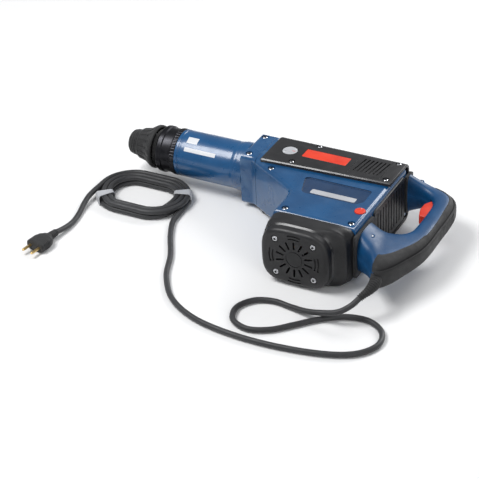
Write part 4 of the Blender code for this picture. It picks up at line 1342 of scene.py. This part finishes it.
def make_motor_end_cover():
    bottom, seam = END_LOW.y, END_HIGH.y
    levels = []
    for k in range(CAP_EDGE_STEPS + 1):
        turn = math.pi / 2 * k / CAP_EDGE_STEPS
        levels.append((bottom + 6.6 * (1 - math.cos(turn)), 11 - 7.9 * math.sin(turn)))
    levels += [(seam - 6, 2.6), (seam - 3.3, 2.1), (seam - 0.3, 0.1), (seam, 0.3)]
    cover = add_piece("motor_cap", end_rings(levels), BLACK)
    hollow = end_rings([(bottom + WALL, 14), (bottom + 6, 8), (seam + 2, WALL)])
    cut(cover, add_piece("cap_hollow", hollow, BLACK))
    outside = bottom - 3
    cut(cover, *end_vents(outside, bottom + WALL + 3))
    cut(cover, *end_arcs(outside, bottom + 1.6))
    groove = [(outside, 13), (outside, 14.2), (bottom + 0.9, 14.2), (bottom + 0.9, 13)]
    hub_groove = turned("hub_groove", "Y", (MOTOR_X, 0, AXIS_Z), groove, BLACK, 96, hollow=True)
    places = [(MOTOR_X + x, bottom, AXIS_Z + z) for x in END_SCREWS_X for z in END_SCREWS_Z]
    bore = [(-3, 5.6), (2.1, 5.6), (2.1, 2.5), (12, 2.5)]
    wells = [turned(f"cap_bore_{i}", "Y", place, bore, BLACK, 48) for i, place in enumerate(places)]
    cut(cover, hub_groove, *wells)
    shade(cover, math.radians(20))
    # Painted highlight: the chamfer round the cap's rim takes the paler, smoother black.
    polish_with_painted_glint(cover, (END_LOW.x, seam - 3.4, END_LOW.z), (END_HIGH.x, seam, END_HIGH.z))
    fit(cover, "housing", "motor_end_cover")
    mesh = screw_mesh(4.9, 2.4, 6)
    for i, (x, y, z) in enumerate(places):
        screw = place_screw(f"cap_screw_{i + 1}", mesh, (x, y + 1.9, z), (0, -1, 0), i)
        fit(screw, "housing", f"end_cover_screw_{i + 1}")


# The handle: its stations repeat the CAD model's inner point, outer point and half thickness

PAD = 3.3
STATIONS = [
    ((208.3, 113), (208.3, 137), 34),
    ((224, 114), (226, 138), 26),
    ((238, 112), (248, 136), 20),
    ((251, 105), (275, 129), 18),
    ((260, 93), (293, 114), 18),
    ((264, 78), (302, 92), 18),
    ((265, 50), (305, 60), 18),
    ((265, 20), (305, 18), 18),
    ((263, -2), (305, -22), 18.5),
    ((256, -14), (301, -54), 20),
    ((246, -20), (290, -88), 22),
    ((236, -22), (276, -122), 24),
    ((227, -22), (258, -138), 26),
    ((217, -22), (234, -112), 30),
    ((208.3, -22), (208.3, -94), 36),
]
HANDLE_POWER = 3
FINER = 7  # sections between two stations
SECTION_STEPS = 26


def fine_stations():
    """The handle's stations with smooth ones between them."""
    rows = [Vector((*inner, *outer)) for inner, outer, half in STATIONS]
    halves = [half for inner, outer, half in STATIONS]
    fine = []
    for i in range(len(rows) - 1):
        picked = [max(0, i - 1), i, i + 1, min(len(rows) - 1, i + 2)]
        for k in range(FINER):
            t = k / FINER
            row = between(*[rows[j] for j in picked], t)
            half = between(*[halves[j] for j in picked], t)
            fine.append((Vector(row[0:2]), Vector(row[2:4]), half, i + t))
    fine.append((Vector(rows[-1][0:2]), Vector(rows[-1][2:4]), halves[-1], len(rows) - 1.0))
    return fine


def shell_point(inner, outer, half, across, side, proud=0.0):
    """A point on a handle shell: across runs from -1 at the inner edge to 1 at the outer one."""
    outer = outer - (outer - inner).normalized() * (PAD + GAP)
    place = inner.lerp(outer, (1 + across) / 2)
    rise = half * (1 - abs(across) ** HANDLE_POWER) ** (1 / HANDLE_POWER)
    return Vector((place.x, place.y, AXIS_Z + side * (rise + GAP / 2 + proud)))


def half_section(inner, outer, half, side):
    """Half of the handle's section, a hair away from the other half."""
    ring = []
    for k in range(SECTION_STEPS + 1):
        across = -math.cos(math.pi * k / SECTION_STEPS)
        ring.append(shell_point(inner, outer, half, across, side))
    return ring


HANDLE_SCREWS = [(226, 128, 24), (279, 108, 17), (285, 8, 17.6), (262, -84, 22), (222, -66, 31)]
# Rooms in the handle: low corner, high corner and half width
SWITCH_ROOM = ((262, 22), (297, 97), 11)
TRIGGER_MOUTH = ((240, 48), (273.5, 103.5), 9.5)


def handle_room(name, low, high, half):
    """A cutter for a room inside both shells of the handle."""
    return block(name, (*low, AXIS_Z - half), (*high, AXIS_Z + half), BLACK)


def make_handle():
    stations = fine_stations()
    for name, side in (("left", 1), ("right", -1)):
        rings = [half_section(inner, outer, half, side) for inner, outer, half, _ in stations]
        shell = add_piece(f"handle_shell_{name}", rings, BLUE_PLASTIC)
        pocket = handle_room("pocket", *SWITCH_ROOM)
        mouth = handle_room("mouth", *TRIGGER_MOUTH)
        cut(shell, pocket, mouth, relief_bore())
        fit(shell, "housing", f"handle_{name}")


SKIN = 1.1  # thickness of the soft grip's skin
SKIN_STEPS = 16
GRIP_START, GRIP_END = 2.0, 12.4  # the stations between which the skin lies
PAD_END = 12.0
WAVES_END = 8  # the skin's inner edge is wavy up to this station


def stations_between(start, end):
    """The fine stations between two places, counted in stations from the handle's upper end."""
    return [row for row in fine_stations() if start <= row[3] <= end]


def skin_edge(at, ends):
    """Where the skin starts, across the handle, at a station."""
    wave = math.sin((at - GRIP_START) / (GRIP_END - GRIP_START) * math.pi * 3) ** 2
    return 0.42 + (0.14 * wave if at < WAVES_END else 0) + 0.5 * (1 - ends)


def make_soft_grip():
    """A rubber skin over the outer part of each shell."""
    stop = 0.985
    for name, side in (("left", 1), ("right", -1)):
        rings = []
        for inner, outer, half, at in stations_between(GRIP_START, GRIP_END):
            ends = smoothstep((at - GRIP_START) / 0.5) * smoothstep((GRIP_END - at) / 0.5)
            start = skin_edge(at, ends)
            skin, under = [], []
            for k in range(SKIN_STEPS + 1):
                across = start + (stop - start) * k / SKIN_STEPS
                edge = smoothstep(k / 2.5) * smoothstep((SKIN_STEPS - k) / 1.5)
                proud = SKIN * edge * (0.25 + 0.75 * ends)
                skin.append(shell_point(inner, outer, half, across, side, max(0.05, proud)))
                under.append(shell_point(inner, outer, half, across, side, -0.4))
            rings.append(skin + under[::-1])
        fit(add_piece(f"soft_grip_{name}", rings, RUBBER), "housing")


PAD_STEPS = 18
PAD_SHARE = 0.62  # of the handle's half thickness
RIM_GROOVES = 12


def make_grip_pad():
    """The rubber rim along the handle's outer side, ribbed where the palm pushes."""
    rings = []
    for inner, outer, half, _ in stations_between(GRIP_START, PAD_END):
        along = (outer - inner).normalized()
        near = outer - along * PAD
        reach = half * PAD_SHARE
        ring = []
        for k in range(PAD_STEPS + 1):
            share = -1 + 2 * k / PAD_STEPS
            crown = (1 - abs(share) ** 5) ** 0.5
            place = near + along * (0.35 + (PAD - 0.35) * crown)
            ring.append((place.x, place.y, AXIS_Z + share * reach))
        ring += [(near.x, near.y, AXIS_Z + reach), (near.x, near.y, AXIS_Z - reach)]
        rings.append(ring)
    pad = add_piece("grip_rim", rings, RUBBER)
    fit(cut(pad, relief_bore(), *rim_grooves()), "housing", "grip_pad")


def rim_grooves():
    """Short cross grooves in the rim behind the palm."""
    tools = []
    for k in range(RIM_GROOVES):
        y = 12 + 6 * k
        centre = (REAR_X + 1.0 - max(0, (y - 45)) ** 2 * 0.0022, y, AXIS_Z)
        tools.append(cylinder(f"rim_groove_{k}", "Z", centre, -9, 9, 1.5, RUBBER, 16))
    return tools


def make_gaskets():
    """Vibration bellows between the body and the handle."""
    for name in ("upper", "lower"):
        low, high = span(f"handle_gasket_{name}")
        corners = rounded(rectangle(low.y, low.z, high.y, high.z, 5))
        rings = []
        for k in range(BELLOWS_STEPS + 1):
            share = k / BELLOWS_STEPS
            inset = 0.75 * (1 - math.cos(math.tau * FOLDS * share)) / 2 + 0.05
            x = low.x + (high.x - low.x) * share
            rings.append([(x, p.x, p.y) for p in offset(corners, -inset)])
        fit(add_piece(f"bellows_{name}", rings, RUBBER), "housing", f"handle_gasket_{name}")


GRILLE_SLOTS = 10


def make_rear_grille():
    """The black air inlet on the body's rear face, between the handle's two arms."""
    upper, lower = span("handle_gasket_upper")[0], span("handle_gasket_lower")[1]
    face = rounded(rectangle(lower.y + 4, AXIS_Z - 40, upper.y - 4, AXIS_Z + 41, 7))
    levels = [(-0.4, 0), (2.4, 0), (2.9, 0.2), (3.3, 0.7)]
    rings = [[(HOUSING_REAR_X + x, p.x, p.y) for p in offset(face, -inset)] for x, inset in levels]
    grille = add_piece("rear_grille", rings, BLACK)
    slots = []
    for i in range(GRILLE_SLOTS):
        y = lower.y + 16 + i * (upper.y - lower.y - 32) / (GRILLE_SLOTS - 1)
        low = (HOUSING_REAR_X + 0.8, y - 1.7, AXIS_Z - 31)
        high = (HOUSING_REAR_X + 6, y + 1.7, AXIS_Z + 32)
        slots.append(block(f"grille_slot_{i}", low, high, BLACK))
    fit(cut(grille, *slots), "housing")


FINGER_GROOVES = (69, 74.5, 80, 85.5, 91)


def make_trigger():
    low, high = span("trigger")
    outline = rounded([
        (267, low.y, 3), (271, high.y, 3), (256, high.y, 3),
        (248.5, 88, 10), (248, 71, 10), (254, low.y, 4),
    ], 8)
    lever = pillow("trigger_lever", outline, low.z, high.z, 2.4, RED, 6)
    grooves = []
    for i, y in enumerate(FINGER_GROOVES):
        centre = (247.7 + 0.03 * abs(y - 80) ** 1.4, y, AXIS_Z)
        grooves.append(cylinder(f"finger_groove_{i}", "Z", centre, -12, 12, 1.2, RED, 20))
    fit(cut(lever, *grooves), "trigger", "trigger")


def make_handle_trim():
    mesh = screw_mesh(3.6, 1.6, 2)
    for i, (x, y, rise) in enumerate(HANDLE_SCREWS):
        profile = [
            (rise - 4, 5.6), (rise - 0.4, 5.6), (rise, 5.2),
            (rise, 4.4), (rise - 1.2, 4.2), (rise - 1.2, 0.4),
        ]
        boss = turned(f"screw_boss_{i + 1}", "Z", (x, y, AXIS_Z), profile, BLUE_PLASTIC, 48)
        fit(boss, "housing")
        place = (x, y, AXIS_Z + rise - 1.3)
        fit(place_screw(f"handle_screw_{i + 1}", mesh, place, (0, 0, 1), i), "housing")


# The parts inside keep their CAD shapes and take their finish here

FINISHES = {
    finish["slot"]: finish
    for finish in (
        BLUE, BLUE_PLASTIC, BLACK, RUBBER, CORD, GREY, RED, BLACK_METAL, STEEL, SPRING_STEEL,
        SCREW_STEEL, BEARING, CAST, BRASS, CORE, COPPER, GRAPHITE,
    )
}


def finish_inner_parts():
    for part in frame["record"]["subparts"]:
        node = frame["nodes"][part["node"]]
        node.data.materials.clear()
        node.data.materials.append(FINISHES[part["material_slot"]])


make_camera()
make_stage()
make_cord_set()
make_dust_cap()
make_locking_sleeve()
make_front_seal()
make_front_collar()
make_barrel()
make_barrel_bands()
make_gear_housing()
make_case_trim()
make_top_cover()
make_cover_trim()
make_selector()
make_speed_dial()
make_motor_housing()
make_motor_end_cover()
make_handle()
make_soft_grip()
make_grip_pad()
make_gaskets()
make_rear_grille()
make_trigger()
make_handle_trim()
finish_inner_parts()
